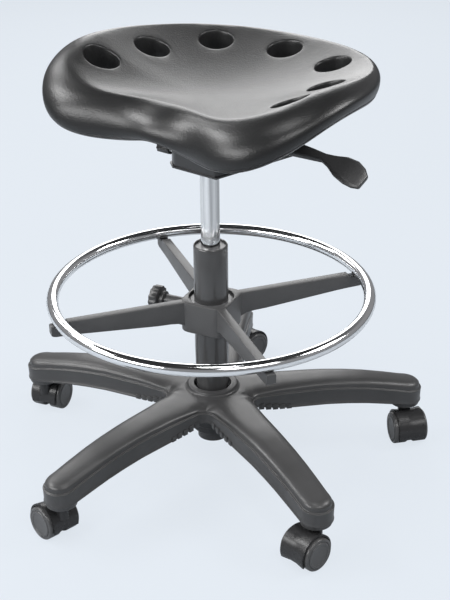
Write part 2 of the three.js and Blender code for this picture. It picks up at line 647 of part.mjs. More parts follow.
// Bar with a finger over the valve button and a block for its pivot pin
function releaseLever() {
  const outline = [
    [-LEVER_FINGER, -LEVER_FINGER], [LEVER_FINGER, -LEVER_FINGER], [LEVER_FINGER * 2, leverNear],
    [LEVER_END, leverNear], [LEVER_END, leverFar], [-LEVER_FINGER, leverFar],
  ];
  const bar = slab(outline, leverFoot, leverTop);
  const half = PIVOT_BLOCK_LENGTH / 2;
  const blockFoot = pivotHeight - half;
  const pivotBlock = block(
    PIVOT_PLACE - half, PIVOT_PLACE + half, leverNear, leverFar, blockFoot, leverFoot + LEVER_THICKNESS / 2,
  );
  const bore = alongY(rod(PIVOT_RADIUS + GAP, leverNear - OVERRUN, leverFar + OVERRUN, 12));
  return cut(join(bar, pivotBlock), bore.translate(PIVOT_PLACE, 0, pivotHeight));
}
add('release_lever', releaseLever(), BLACK_PAINT);

const pinReach = LUG_THICKNESS + GAP;
const pin = alongY(rod(PIVOT_RADIUS, leverNear - pinReach, leverFar + pinReach, 12));
add('lever_pivot', pin, STEEL).position.set(PIVOT_PLACE, 0, pivotHeight);

function leverHandle() {
  const middle = (leverFoot + leverTop) / 2;
  const rings = HANDLE_SHARES.map(([place, drop, width, thickness, turn]) => {
    const tilt = radians(HANDLE_TILT * turn);
    const x = HANDLE_ROOT + (HANDLE_TIP - HANDLE_ROOT) * place;
    const z = middle - HANDLE_DROP * drop;
    return HANDLE_SECTION_SHARES.map(([across, up]) => {
      const a = across * width * HANDLE_HALF_WIDTH;
      const b = up * thickness * HANDLE_HALF_THICKNESS;
      const y = LEVER_OFFSET + a * Math.cos(tilt) - b * Math.sin(tilt);
      return new THREE.Vector3(x, y, z + a * Math.sin(tilt) + b * Math.cos(tilt));
    });
  });
  const pocket = block(
    HANDLE_ROOT - OVERRUN, LEVER_END + GAP, leverNear - GAP, leverFar + GAP, leverFoot - GAP, leverTop + GAP,
  );
  return cut(loft(rings), pocket);
}
add('lever_handle', leverHandle(), BLACK_PLASTIC);

// --- gas column -------------------------------------------------------------

const button = add('valve_button', rod(BUTTON_RADIUS, BUTTON_FOOT, leverFoot - GAP, 12), STEEL);
button.position.set(0, 0, 0);

const cylinderBore = CYLINDER_RADIUS - CYLINDER_WALL;
const chamberFoot = CYLINDER_FOOT + CYLINDER_END_THICKNESS;
const chamberTop = CYLINDER_TOP - CYLINDER_HEAD_THICKNESS;
const rodSeal = ROD_RADIUS + GAP;
const buttonSeal = BUTTON_RADIUS + GAP;
add('gas_cylinder', turned([
  [rodSeal, CYLINDER_FOOT], [CYLINDER_RADIUS, CYLINDER_FOOT], [CYLINDER_RADIUS, CYLINDER_TAPER_START],
  [CYLINDER_TOP_RADIUS, CYLINDER_TOP], [buttonSeal, CYLINDER_TOP], [buttonSeal, chamberTop],
  [cylinderBore, chamberTop], [cylinderBore, chamberFoot], [rodSeal, chamberFoot], [rodSeal, CYLINDER_FOOT],
], 24), CHROME);

const plateUpper = FOOT_PLATE_HEIGHT + FOOT_PLATE_THICKNESS;
const bearingFoot = plateUpper + GAP;
const flangeFoot = bearingFoot + BEARING_THICKNESS + GAP;
const flangeTop = flangeFoot + ROD_FLANGE_THICKNESS;
const grooveTop = FOOT_PLATE_HEIGHT - GAP;
const grooveFoot = grooveTop - CLIP_THICKNESS - GAP;
const grooveRadius = ROD_RADIUS - CLIP_GROOVE_DEPTH;
add('piston_rod', turned([
  [0, ROD_FOOT], [ROD_RADIUS, ROD_FOOT], [ROD_RADIUS, grooveFoot], [grooveRadius, grooveFoot],
  [grooveRadius, grooveTop], [ROD_RADIUS, grooveTop], [ROD_RADIUS, flangeFoot],
  [ROD_FLANGE_RADIUS, flangeFoot], [ROD_FLANGE_RADIUS, flangeTop], [ROD_RADIUS, flangeTop],
  [ROD_RADIUS, ROD_TOP], [0, ROD_TOP],
], 12), CHROME);
const pistonTop = PISTON_FOOT + PISTON_THICKNESS;
const piston = cut(
  rod(cylinderBore - GAP, PISTON_FOOT, pistonTop, 24),
  rod(ROD_RADIUS + GAP, PISTON_FOOT - OVERRUN, ROD_TOP + GAP, 12),
);
add('piston', piston, STEEL);
const ring = (inner, outer, from, to, sides) => turned([
  [inner, from], [outer, from], [outer, to], [inner, to], [inner, from],
], sides);
add('thrust_bearing', ring(ROD_RADIUS + GAP, BEARING_RADIUS, bearingFoot, bearingFoot + BEARING_THICKNESS, 20), STEEL);
const clipFoot = grooveFoot + GAP / 2;
add('retaining_clip', ring(grooveRadius + GAP, CLIP_RADIUS, clipFoot, clipFoot + CLIP_THICKNESS, 12), STEEL);

const columnBore = POST_RADIUS - POST_WALL;
const neckBore = POST_NECK_RADIUS - POST_WALL;
const footBore = POST_FOOT_RADIUS - POST_WALL;
add('column_tube', turned([
  [POST_FOOT_RADIUS, POST_FOOT], [POST_NECK_RADIUS, POST_NECK], [POST_RADIUS, POST_SHOULDER],
  [POST_RADIUS, POST_TOP - POST_RIM_ROUND], [POST_RADIUS - POST_RIM_ROUND, POST_TOP],
  [columnBore, POST_TOP], [columnBore, POST_SHOULDER], [neckBore, POST_NECK], [footBore, plateUpper],
  [FOOT_PLATE_HOLE, plateUpper], [FOOT_PLATE_HOLE, FOOT_PLATE_HEIGHT], [footBore, FOOT_PLATE_HEIGHT],
  [footBore, POST_FOOT], [POST_FOOT_RADIUS, POST_FOOT],
], 24), BLACK_PAINT);
const guideTop = POST_TOP - GUIDE_RECESS;
add('guide_bush', ring(CYLINDER_RADIUS + GAP, columnBore - GAP, guideTop - GUIDE_LENGTH, guideTop, 24), BLACK_NYLON);

// --- foot ring and spider ---------------------------------------------------

add('foot_ring', new THREE.TorusGeometry(RING_RADIUS, RING_TUBE_RADIUS, RING_SIDES, RING_STEPS), CHROME)
  .position.set(0, 0, RING_HEIGHT);

function ringSpider() {
  const half = SPIDER_HALF_SIZE;
  const chamfer = half * 2 - SPIDER_CORNER_RADIUS * Math.SQRT2;
  const edge = half - chamfer;
  const outline = [
    [half, -edge], [half, edge], [edge, half], [-edge, half],
    [-half, edge], [-half, -edge], [-edge, -half], [edge, -half],
  ];
  const hub = slab(outline, SPIDER_FOOT, SPIDER_TOP).rotateZ(radians(SPIDER_AZIMUTH - 45));
  const seat = RING_HEIGHT - RING_TUBE_RADIUS - GAP;
  const seatPlace = ARM_SEAT_SHARE * SPIDER_ARM_REACH;
  const side = ARM_UNDERSIDE_SHARES.map(([place, depth]) => [
    place * SPIDER_ARM_REACH, SPIDER_TOP - depth * SPIDER_ARM_DEPTH,
  ]);
  side.push([SPIDER_ARM_REACH, seat], [seatPlace, seat]);
  side.push([seatPlace - (SPIDER_TOP - seat), SPIDER_TOP], [SPIDER_BORE_RADIUS, SPIDER_TOP]);
  side.push([SPIDER_BORE_RADIUS, SPIDER_FOOT]);
  const arms = [0, 1, 2, 3].map((k) => {
    const arm = slab(side, -SPIDER_ARM_WIDTH / 2, SPIDER_ARM_WIDTH / 2).rotateX(Math.PI / 2);
    return arm.rotateZ(radians(SPIDER_AZIMUTH + 90 * k));
  });
  const bore = rod(SPIDER_BORE_RADIUS, SPIDER_FOOT + BUSH_SILL, SPIDER_TOP + OVERRUN, 24);
  const throat = rod(POST_RADIUS + GAP, SPIDER_FOOT - OVERRUN, SPIDER_FOOT + OVERRUN * 2, 24);
  const recess = rod(SPIDER_RECESS_RADIUS, SPIDER_TOP - SPIDER_RECESS_DEPTH, SPIDER_TOP + OVERRUN, 24);
  const screwBore = alongX(rod(SCREW_RADIUS + GAP, POST_RADIUS, half * 2, 12));
  screwBore.rotateZ(radians(CLAMP_AZIMUTH)).translate(0, 0, CLAMP_HEIGHT);
  return cut(join(hub, ...arms), bore, throat, recess, screwBore);
}
add('ring_spider', ringSpider(), BLACK_PLASTIC);

function spiderBush() {
  const foot = SPIDER_FOOT + BUSH_SILL + GAP;
  const top = SPIDER_TOP - SPIDER_RECESS_DEPTH;
  const sleeve = ring(POST_RADIUS + GAP, SPIDER_BORE_RADIUS - GAP, foot, top, 24);
  const screwBore = alongX(rod(SCREW_RADIUS + GAP, 0, SPIDER_HALF_SIZE, 12));
  return cut(sleeve, screwBore.rotateZ(radians(CLAMP_AZIMUTH)).translate(0, 0, CLAMP_HEIGHT));
}
add('spider_bush', spiderBush(), BLACK_NYLON);

const clamp = new THREE.Group();
clamp.position.set(0, 0, CLAMP_HEIGHT);
clamp.rotation.z = radians(CLAMP_AZIMUTH);
stool.add(clamp);
add('clamp_screw', alongX(rod(SCREW_RADIUS, POST_RADIUS + GAP, SCREW_END, 12)), STEEL, clamp);

function clampKnob() {
  const headFoot = KNOB_FACE - KNOB_THICKNESS;
  const neckFoot = headFoot - KNOB_STEP_LENGTH - KNOB_NECK_LENGTH;
  const head = slab(fluted(KNOB_RADIUS, KNOB_LOBE_DEPTH, KNOB_LOBES), headFoot, KNOB_FACE);
  const step = rod(KNOB_STEP_RADIUS, headFoot - KNOB_STEP_LENGTH, headFoot + OVERRUN, 16);
  const neck = rod(KNOB_NECK_RADIUS, neckFoot, headFoot - KNOB_STEP_LENGTH / 2, 16);
  const bore = rod(SCREW_RADIUS + GAP, neckFoot - OVERRUN, SCREW_END + GAP, 12);
  return alongX(cut(join(head, step, neck), bore));
}
add('clamp_knob', clampKnob(), BLACK_PLASTIC, clamp);

// --- base star --------------------------------------------------------------

const bossSeat = STEM_TOP + GAP;

function legRing([place, crown, shoulder, foot, width], wall) {
  const half = width * LEG_HALF_WIDTH - wall;
  const top = BOSS_FOOT + crown * LEG_DEPTH - wall;
  const brow = BOSS_FOOT + shoulder * LEG_DEPTH - wall;
  const bottom = BOSS_FOOT + foot * LEG_DEPTH - OVERRUN * wall;
  const side = half * LEG_SIDE_SHARE;
  const [browPlace, browRise] = LEG_BROW_SHARES;
  const right = [[half, bottom], [side, brow]];
  if (wall === 0) right.push([half * browPlace, brow + (top - brow) * browRise]);
  const left = right.map(([across, z]) => [-across, z]).reverse();
  return [...right, [0, top], ...left].map(([across, z]) => new THREE.Vector3(place * LEG_REACH, across, z));
}

function legShare(share, row) {
  let i = 0;
  while (i < LEG_SHARES.length - 2 && share > LEG_SHARES[i + 1][0]) i += 1;
  const [a, b] = [LEG_SHARES[i], LEG_SHARES[i + 1]];
  return a[row] + ((b[row] - a[row]) * (share - a[0])) / (b[0] - a[0]);
}

function baseStar() {
  const outers = [];
  const hollows = [];
  const extras = [];
  const sockets = [];
  for (let k = 0; k < LEG_COUNT; k += 1) {
    const turn = radians(LEG_AZIMUTH + (FULL_TURN / LEG_COUNT) * k);
    const at = (geometry) => geometry.rotateZ(turn);
    outers.push(at(loft(LEG_SHARES.map((row) => legRing(row, 0)))));
    const channel = LEG_SHARES.slice(1, -1).map((row) => legRing(row, LEG_WALL));
    hollows.push(at(loft(channel)));
    RIB_PLACE_SHARES.forEach((share, i) => {
      const place = share * LEG_REACH;
      const half = legShare(share, 4) * LEG_HALF_WIDTH - LEG_WALL / 2;
      const edge = BOSS_FOOT + legShare(share, 3) * LEG_DEPTH;
      const foot = i < DEEP_RIBS ? Math.min(RIB_FOOT, edge) : edge + RIB_THICKNESS;
      const top = BOSS_FOOT + legShare(share, 2) * LEG_DEPTH - LEG_WALL / 2;
      extras.push(at(block(place - RIB_THICKNESS / 2, place + RIB_THICKNESS / 2, -half, half, foot, top)));
    });
    const domeRise = BOSS_TOP - BOSS_FOOT;
    const boss = turned([
      [0, BOSS_FOOT], [BOSS_RADIUS - BOSS_EDGE, BOSS_FOOT], [BOSS_RADIUS, BOSS_FOOT + BOSS_EDGE],
      ...BOSS_DOME_SHARES.map(([out, up]) => [out * BOSS_RADIUS, BOSS_FOOT + up * domeRise]).reverse(),
      [0, BOSS_TOP],
    ], 16);
    outers.push(at(boss.translate(LEG_REACH, 0, 0)));
    sockets.push(at(rod(STEM_RADIUS + GAP, BOSS_FOOT - OVERRUN, bossSeat, 12).translate(LEG_REACH, 0, 0)));
  }
  const disc = rod(HUB_DISC_RADIUS, HUB_DISC_FOOT, HUB_DISC_TOP, 30);
  const shell = cut(join(disc, ...outers), ...hollows);
  const core = rod(HUB_CORE_RADIUS, HUB_FOOT, HUB_DISC_TOP, 24);
  const collar = rod(COLLAR_RADIUS, HUB_DISC_FOOT + OVERRUN, COLLAR_TOP, 24);
  const bore = rod(HUB_BORE_RADIUS, HUB_FOOT - OVERRUN, COLLAR_TOP + OVERRUN, 24);
  return cut(join(shell, core, collar, ...extras), bore, ...sockets);
}
add('base_star', baseStar(), BLACK_PLASTIC);

const columnRadiusAt = (height) => {
  const share = (height - POST_FOOT) / (POST_NECK - POST_FOOT);
  return POST_FOOT_RADIUS + (POST_NECK_RADIUS - POST_FOOT_RADIUS) * share;
};
const insertOuter = HUB_BORE_RADIUS - GAP;
add('base_hub_insert', turned([
  [columnRadiusAt(HUB_FOOT) + GAP, HUB_FOOT], [insertOuter, HUB_FOOT], [insertOuter, HUB_INSERT_TOP],
  [columnRadiusAt(HUB_INSERT_TOP) + GAP, HUB_INSERT_TOP], [columnRadiusAt(HUB_FOOT) + GAP, HUB_FOOT],
], 24), STEEL);

// --- casters ----------------------------------------------------------------

// Caster frame: swivel axis at the origin, trail towards +X, axle along Y
function casterHood() {
  const axle = (geometry) => alongY(geometry).translate(CASTER_TRAIL, 0, WHEEL_RADIUS);
  const barrel = axle(rod(HOOD_RADIUS, -HOOD_HALF_WIDTH, HOOD_HALF_WIDTH, HOOD_SIDES));
  const below = (from, to, foot) => (
    block(from, to, -HOOD_RADIUS * 2, HOOD_RADIUS * 2, -HOOD_RADIUS * 2, foot)
  );
  const wide = HOOD_RADIUS * 3;
  const cover = cut(
    barrel,
    below(-wide, CASTER_TRAIL, HOOD_LEADING_FOOT),
    below(CASTER_TRAIL - OVERRUN, wide, HOOD_TRAILING_FOOT),
  );
  const middle = axle(rod(HOOD_WEB_RADIUS, -HOOD_WEB_HALF_WIDTH, HOOD_WEB_HALF_WIDTH, 16));
  const post = rod(HOOD_BOSS_RADIUS, HOOD_BOSS_FOOT, HOOD_BOSS_TOP, 20);
  const wheelSpaces = [-1, 1].map((side) => {
    const [from, to] = [HOOD_WEB_HALF_WIDTH, HOOD_RADIUS * 2].map((y) => y * side);
    return axle(rod(HOOD_INNER_RADIUS, Math.min(from, to), Math.max(from, to), HOOD_SIDES));
  });
  const axleBore = axle(rod(CASTER_AXLE_RADIUS + GAP, -HOOD_RADIUS, HOOD_RADIUS, 12));
  const socket = rod(SPIGOT_RADIUS + GAP, SPIGOT_FOOT - GAP, HOOD_BOSS_TOP + OVERRUN, 12);
  return cut(join(cover, middle, post), ...wheelSpaces, axleBore, socket);
}

// Twin wheel with a bevelled tread edge, a stepped cap and a blind axle hole; flat side down
function casterWheel(side) {
  const rim = WHEEL_RADIUS / Math.cos(Math.PI / WHEEL_SIDES);
  const bore = CASTER_AXLE_RADIUS + GAP;
  const boreEnd = CASTER_AXLE_HALF_LENGTH + GAP;
  const shoulder = WHEEL_OUTER_FACE - WHEEL_CAP_RISE;
  const profile = [
    [0, boreEnd], [bore, boreEnd], [bore, WHEEL_INNER_FACE], [rim - WHEEL_EDGE, WHEEL_INNER_FACE],
    [rim, WHEEL_INNER_FACE + WHEEL_EDGE], [rim, shoulder - WHEEL_EDGE], [rim - WHEEL_EDGE, shoulder],
    [WHEEL_CAP_RADIUS, shoulder], [WHEEL_CAP_RADIUS - WHEEL_CAP_RISE, WHEEL_OUTER_FACE], [0, WHEEL_OUTER_FACE],
  ].map(([radius, out]) => new THREE.Vector2(radius, out * side));
  const wheel = new THREE.LatheGeometry(profile, WHEEL_SIDES, Math.PI / WHEEL_SIDES);
  return wheel.translate(CASTER_TRAIL, 0, WHEEL_RADIUS);
}

const hood = casterHood();
const stem = turned([
  [0, SPIGOT_FOOT], [SPIGOT_RADIUS, SPIGOT_FOOT], [SPIGOT_RADIUS, HOOD_BOSS_TOP + GAP],
  [STEM_NECK_RADIUS, HOOD_BOSS_TOP + GAP], [STEM_NECK_RADIUS, HOOD_BOSS_TOP + GAP + STEM_NECK_HEIGHT],
  [STEM_RADIUS, HOOD_BOSS_TOP + GAP + STEM_NECK_HEIGHT], [STEM_RADIUS, STEM_TOP], [0, STEM_TOP],
], 12);
const axleRod = alongY(rod(CASTER_AXLE_RADIUS, -CASTER_AXLE_HALF_LENGTH, CASTER_AXLE_HALF_LENGTH, 12))
  .translate(CASTER_TRAIL, 0, WHEEL_RADIUS);

CASTER_TRAIL_AZIMUTHS.forEach((azimuth, i) => {
  const turn = radians(LEG_AZIMUTH + (FULL_TURN / LEG_COUNT) * i);
  const caster = new THREE.Group();
  caster.position.set(LEG_REACH * Math.cos(turn), LEG_REACH * Math.sin(turn), 0);
  caster.rotation.z = radians(azimuth);
  stool.add(caster);
  const name = `caster_${i + 1}`;
  add(`${name}_stem`, stem, STEEL, caster);
  add(`${name}_hood`, hood, BLACK_PLASTIC, caster);
  add(`${name}_axle`, axleRod, STEEL, caster);
  add(`${name}_wheel_left`, casterWheel(1), TREAD, caster);
  add(`${name}_wheel_right`, casterWheel(-1), TREAD, caster);
});

// The origin is the middle of the footprint on the floor
stool.updateMatrixWorld(true);
const middle = new THREE.Box3().setFromObject(stool, true).getCenter(new THREE.Vector3());
stool.position.set(-middle.x, -middle.y, 0);

export default stool;
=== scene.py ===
# %% [markdown]
# A perch stool: a moulded saddle seat on a gas column, a chromed foot ring and a five-legged
# base on twin-wheel casters. The CAD model is the frame: every piece made here sits where the
# CAD says and moves with one of its bodies. Lengths are written in millimetres, measured from
# the column's own axis, and one matrix takes them to the frame's metres.

# %% The frame
import json
import math

import bmesh
import bpy
import numpy as np
from mathutils import Matrix, Vector
from mathutils.bvhtree import BVHTree


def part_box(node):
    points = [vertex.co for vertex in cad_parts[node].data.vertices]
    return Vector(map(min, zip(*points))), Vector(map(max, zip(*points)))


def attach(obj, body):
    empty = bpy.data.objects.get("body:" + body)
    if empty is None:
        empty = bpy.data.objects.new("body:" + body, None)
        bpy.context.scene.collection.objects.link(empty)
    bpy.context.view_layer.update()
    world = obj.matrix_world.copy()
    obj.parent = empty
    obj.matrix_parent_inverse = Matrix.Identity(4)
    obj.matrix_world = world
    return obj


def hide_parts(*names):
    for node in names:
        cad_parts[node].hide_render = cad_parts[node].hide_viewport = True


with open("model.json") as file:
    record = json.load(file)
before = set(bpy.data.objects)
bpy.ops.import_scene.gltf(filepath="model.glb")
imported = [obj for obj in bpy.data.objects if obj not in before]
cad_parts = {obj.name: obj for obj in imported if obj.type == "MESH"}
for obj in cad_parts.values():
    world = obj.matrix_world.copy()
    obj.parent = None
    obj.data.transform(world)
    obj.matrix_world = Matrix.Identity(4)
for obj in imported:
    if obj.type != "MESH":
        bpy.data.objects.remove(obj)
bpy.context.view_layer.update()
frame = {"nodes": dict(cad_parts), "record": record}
MM = 0.001
tube_low, tube_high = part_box("column_tube")
column_axis = Vector(((tube_low.x + tube_high.x) / 2, (tube_low.y + tube_high.y) / 2, 0))
TO_FRAME = Matrix.Translation(column_axis) @ Matrix.Scale(MM, 4)

# %% [markdown]
# The camera stands where the photographer stood. It could be aimed by eye, but a camera fitted
# to the round ring and the five legs gives the same perspective, so every piece can be compared
# with the picture at its own place. A long lens far away keeps the ring's ellipse flat.

# %% The camera
CAMERA_PLACE = (1.2152, -1.5240, 1.2441)
CAMERA_TURN = math.radians(37.498)
CAMERA_DIP = 0.465407
CAMERA_ROLL = -0.009773
PHOTO_HEIGHT = 600
FOCAL_PIXELS = 1458.9

camera = bpy.data.objects.new("camera", bpy.data.cameras.new("camera"))
bpy.context.scene.collection.objects.link(camera)
camera.data.sensor_width = 36
camera.data.lens = FOCAL_PIXELS / PHOTO_HEIGHT * camera.data.sensor_width
camera.data.clip_end = 50
camera.matrix_world = (
    Matrix.Translation(CAMERA_PLACE)
    @ Matrix.Rotation(CAMERA_TURN, 4, "Z")
    @ Matrix.Rotation(math.pi / 2 - CAMERA_DIP, 4, "X")
    @ Matrix.Rotation(CAMERA_ROLL, 4, "Z")
)
bpy.context.scene.camera = camera
bpy.context.scene.view_settings.view_transform = "Standard"
print("lens", round(camera.data.lens, 2), "mm")

# %% [markdown]
# Shader maths is easier to read as sums than as a row of nodes. One small class wraps a socket,
# so that `grain * 0.4 + 0.3` adds its Math nodes by itself. Anything else comes from one method
# that takes a node's type, its settings and the values or links of its sockets.

# %% Sums on sockets
class Signal:
    """A shader socket that can stand in a sum."""

    def __init__(self, tree, socket):
        self.tree, self.socket = tree, socket

    def _sum(self, operation, left, right):
        return grow(self.tree, "ShaderNodeMath", {"operation": operation}, {0: left, 1: right})

    def __add__(self, other):
        return self._sum("ADD", self, other)

    __radd__ = __add__

    def __mul__(self, other):
        return self._sum("MULTIPLY", self, other)

    __rmul__ = __mul__


def grow(tree, kind, settings=None, inputs=None, output=0):
    """Adds one node: settings first, then the values or links of its sockets."""
    node = tree.nodes.new(kind)
    for name, value in (settings or {}).items():
        if name == "stops":
            for stop, (place, colour) in zip(node.color_ramp.elements, value):
                stop.position, stop.color = place, (*colour, 1)
        else:
            setattr(node, name, value)
    for name, value in (inputs or {}).items():
        if isinstance(value, Signal):
            tree.links.new(value.socket, node.inputs[name])
        else:
            node.inputs[name].default_value = value
    return Signal(tree, node.outputs[output])


# %% [markdown]
# Every finish is a Principled surface over three patterns on the object's own coordinates: a
# slow cloud that shifts the tone, a fine grain that feeds the bump, and a smear that varies the
# gloss. Plain plastics could be one flat colour, but moulded parts never look flat: they show
# texture from the tool, handling marks and a little dust.

# %% The finish maker
CLOUD_SCALE, STREAK_CLOUD_SCALE, SMEAR_SCALE = 14.0, 150.0, 45.0
CLOUD_SHARE, GRAIN_SHARE = 0.7, 0.3
DARK_STOP, LIGHT_STOP = 0.3, 0.7
BUMP_STRENGTH, BUMP_DEPTH = 0.6, 0.0006
COAT_ROUGHNESS = 0.2


def noise(tree, place, scale, detail):
    return grow(tree, "ShaderNodeTexNoise", {}, {"Vector": place, "Scale": float(scale), "Detail": detail})


def make_finish(name, colour, gloss, metal=0.0, grain=(900, 0.1), leather=None, tone=0.12,
                smear=0.08, coat=0.0, specular=0.5, streak_stretch=1.0):
    """A procedural finish. grain is (scale, bump strength), leather (cell scale, strength).

    A small value stretches the pattern upwards. In the gloss and bump these are lengthwise marks, as drawing
    a tube leaves; in the colour the long streaks are painted reflection bands."""
    finish = bpy.data.materials.new(name)
    finish.use_nodes = True
    tree = finish.node_tree
    surface = tree.nodes["Principled BSDF"]
    place = grow(tree, "ShaderNodeTexCoord", output="Object")
    cloud_scale = CLOUD_SCALE
    # Stretched upwards, the tone cloud paints long light and dark reflection bands into the colour.
    if streak_stretch < 1:
        place = grow(tree, "ShaderNodeMapping", {}, {"Vector": place, "Scale": (1, 1, streak_stretch)})
        cloud_scale = STREAK_CLOUD_SCALE
    cloud = noise(tree, place, cloud_scale, 3.0)
    fine = noise(tree, place, grain[0], 2.0)
    dark = tuple(c * (1 - tone) for c in colour)
    light = tuple(min(1.0, c * (1 + tone)) for c in colour)
    shade = cloud * CLOUD_SHARE + fine * GRAIN_SHARE
    stops = [(DARK_STOP, dark), (LIGHT_STOP, light)]
    ramp = grow(tree, "ShaderNodeValToRGB", {"stops": stops}, {"Fac": shade})
    tree.links.new(ramp.socket, surface.inputs["Base Color"])
    rough = noise(tree, place, SMEAR_SCALE, 4.0) * smear + (gloss - smear / 2)
    tree.links.new(rough.socket, surface.inputs["Roughness"])
    height = fine * grain[1]
    if leather:
        cells = grow(tree, "ShaderNodeTexVoronoi", {"feature": "SMOOTH_F1"},
                     {"Vector": place, "Scale": float(leather[0])})
        height = height + cells * leather[1]
    bump = grow(tree, "ShaderNodeBump", {},
                {"Height": height, "Strength": BUMP_STRENGTH, "Distance": BUMP_DEPTH})
    tree.links.new(bump.socket, surface.inputs["Normal"])
    surface.inputs["Metallic"].default_value = metal
    surface.inputs["Coat Weight"].default_value = coat
    surface.inputs["Coat Roughness"].default_value = COAT_ROUGHNESS
    surface.inputs["Specular IOR Level"].default_value = specular
    return finish


# %% [markdown]
# The stool has few materials: self-skinning foam with a leather grain, glass-filled nylon for
# the base, smoother black plastics for the handle, spider and hoods, black paint on the pressed
# steel, chrome on the ring and cylinder, bare zinc-coated steel, and rubber.

# %% The finishes
foam_skin = make_finish("foam_skin", (0.014, 0.0142, 0.0145), 0.3, grain=(1100, 0.4), leather=(460, 0.55),
                        tone=0.12, smear=0.05, specular=0.4)
base_nylon = make_finish("base_nylon", (0.045, 0.045, 0.046), 0.36, grain=(1100, 0.15), tone=0.16,
                         smear=0.14, specular=0.5)
spider_plastic = make_finish("spider_plastic", (0.06, 0.06, 0.061), 0.38, grain=(1300, 0.15), tone=0.12)
handle_plastic = make_finish("handle_plastic", (0.035, 0.035, 0.036), 0.34, grain=(1300, 0.25), tone=0.1)
hood_plastic = make_finish("hood_plastic", (0.026, 0.026, 0.027), 0.27, grain=(1200, 0.3), tone=0.15,
                           smear=0.12, specular=0.35)
wheel_plastic = make_finish("wheel_plastic", (0.065, 0.065, 0.066), 0.3, grain=(900, 0.15), tone=0.12)
black_paint = make_finish("black_paint", (0.024, 0.024, 0.025), 0.3, grain=(420, 0.3), tone=0.08, coat=0.15)
column_paint = make_finish("column_paint", (0.05, 0.05, 0.051), 0.22, grain=(420, 0.08), tone=0.05, coat=0.3)
chrome = make_finish("chrome", (0.86, 0.87, 0.88), 0.1, metal=1.0, grain=(300, 0.01), tone=0.02, smear=0.03)
# Painted reflection: the cylinder's strong tone, stretched upwards, lays light and dark reflection bands
# along it.
cylinder_steel = make_finish("cylinder_steel", (0.72, 0.72, 0.72), 0.12, metal=1.0, grain=(300, 0.01),
                             tone=0.45, smear=0.05, streak_stretch=0.01)
zinc_steel = make_finish("zinc_steel", (0.56, 0.57, 0.58), 0.36, metal=1.0, grain=(260, 0.12), tone=0.15,
                         smear=0.15)
black_rubber = make_finish("black_rubber", (0.028, 0.028, 0.028), 0.78, grain=(700, 0.4), tone=0.2)
bush_nylon = make_finish("bush_nylon", (0.12, 0.12, 0.125), 0.3, grain=(900, 0.1), tone=0.1)
print("finishes", len(bpy.data.materials))

# %% [markdown]
# Most rigid pieces on this stool are one of three kinds: turned about an axis, a flat outline
# given a thickness, or a skin that grows ring by ring along a shape. Three helpers cover them.
# Each uses the operators of bmesh, so that the faces are made, closed and turned by Blender.

# %% Turned pieces, slabs and grown skins
MERGE = 0.002


def closed_edges(bm, ring):
    """The edges between neighbours of a closed ring of vertices."""
    return [bm.edges.get((a, b)) for a, b in zip(ring, ring[1:] + ring[:1])]


def turned(profile, steps=72):
    """Closed profile of (radius, height) spun a full turn about Z."""
    bm = bmesh.new()
    ring = [bm.verts.new((radius, 0, height)) for radius, height in profile]
    edges = [bm.edges.new((a, b)) for a, b in zip(ring, ring[1:])]
    if profile[0][0] > 0 or profile[-1][0] > 0:
        edges.append(bm.edges.new((ring[-1], ring[0])))
    bmesh.ops.spin(bm, geom=ring + edges, cent=(0, 0, 0), axis=(0, 0, 1), dvec=(0, 0, 0),
                   angle=math.tau, steps=steps, use_merge=True, use_duplicate=False)
    bmesh.ops.remove_doubles(bm, verts=bm.verts, dist=MERGE)
    return bm


def slab(outline, low, high):
    """Flat outline in X and Y, given its thickness along Z."""
    bm = bmesh.new()
    corners = [bm.verts.new((x, y, low)) for x, y in outline]
    face = bmesh.ops.contextual_create(bm, geom=corners)["faces"]
    raised = bmesh.ops.extrude_face_region(bm, geom=face)["geom"]
    lifted = [part for part in raised if isinstance(part, bmesh.types.BMVert)]
    bmesh.ops.translate(bm, verts=lifted, vec=(0, 0, high - low))
    return bm


def next_ring(bm, ring, points):
    """Extrudes a closed ring of vertices to the next row of points."""
    made = bmesh.ops.extrude_edge_only(bm, edges=closed_edges(bm, ring))["geom"]
    fresh = {part for part in made if isinstance(part, bmesh.types.BMVert)}
    row = []
    for vert, point in zip(ring, points):
        twin = next(e.other_vert(vert) for e in vert.link_edges if e.other_vert(vert) in fresh)
        twin.co = point
        row.append(twin)
    return row


def first_ring(bm, points):
    """A closed ring of edges through a row of points."""
    made = bmesh.ops.create_circle(bm, segments=len(points), radius=1)["verts"]
    for vert, point in zip(made, points):
        vert.co = point
    return list(made)


def grown(rows, ends="cap"):
    """A skin through closed rows of points. ends is cap, or ring where the last row meets the first."""
    bm = bmesh.new()
    ring = start = first_ring(bm, rows[0])
    for points in rows[1:]:
        ring = next_ring(bm, ring, points)
    if ends == "cap":
        bmesh.ops.contextual_create(bm, geom=closed_edges(bm, start))
        bmesh.ops.contextual_create(bm, geom=closed_edges(bm, ring))
    if ends == "ring":
        bmesh.ops.bridge_loops(bm, edges=closed_edges(bm, start) + closed_edges(bm, ring))
    return bm


# %% [markdown]
# Real moulded and pressed edges are never sharp: a small round catches the light and draws the
# bright line seen along every edge in the photograph. Bevel does that for edges above an angle.
# A finished piece then gets its place, its finish and the body that it rides on.

# %% Softened edges and the finished piece
def soften(bm, width, angle=30, segments=2, which=None):
    """Rounds the edges that turn by more than an angle in degrees."""
    bmesh.ops.recalc_face_normals(bm, faces=bm.faces)
    edges = [e for e in bm.edges if len(e.link_faces) == 2 and e.calc_face_angle(0) > math.radians(angle)]
    if which:
        edges = [e for e in edges if which(e)]
    bmesh.ops.bevel(bm, geom=edges, affect="EDGES", offset=width, segments=segments, profile=0.5,
                    material=-1, clamp_overlap=True)
    return bm


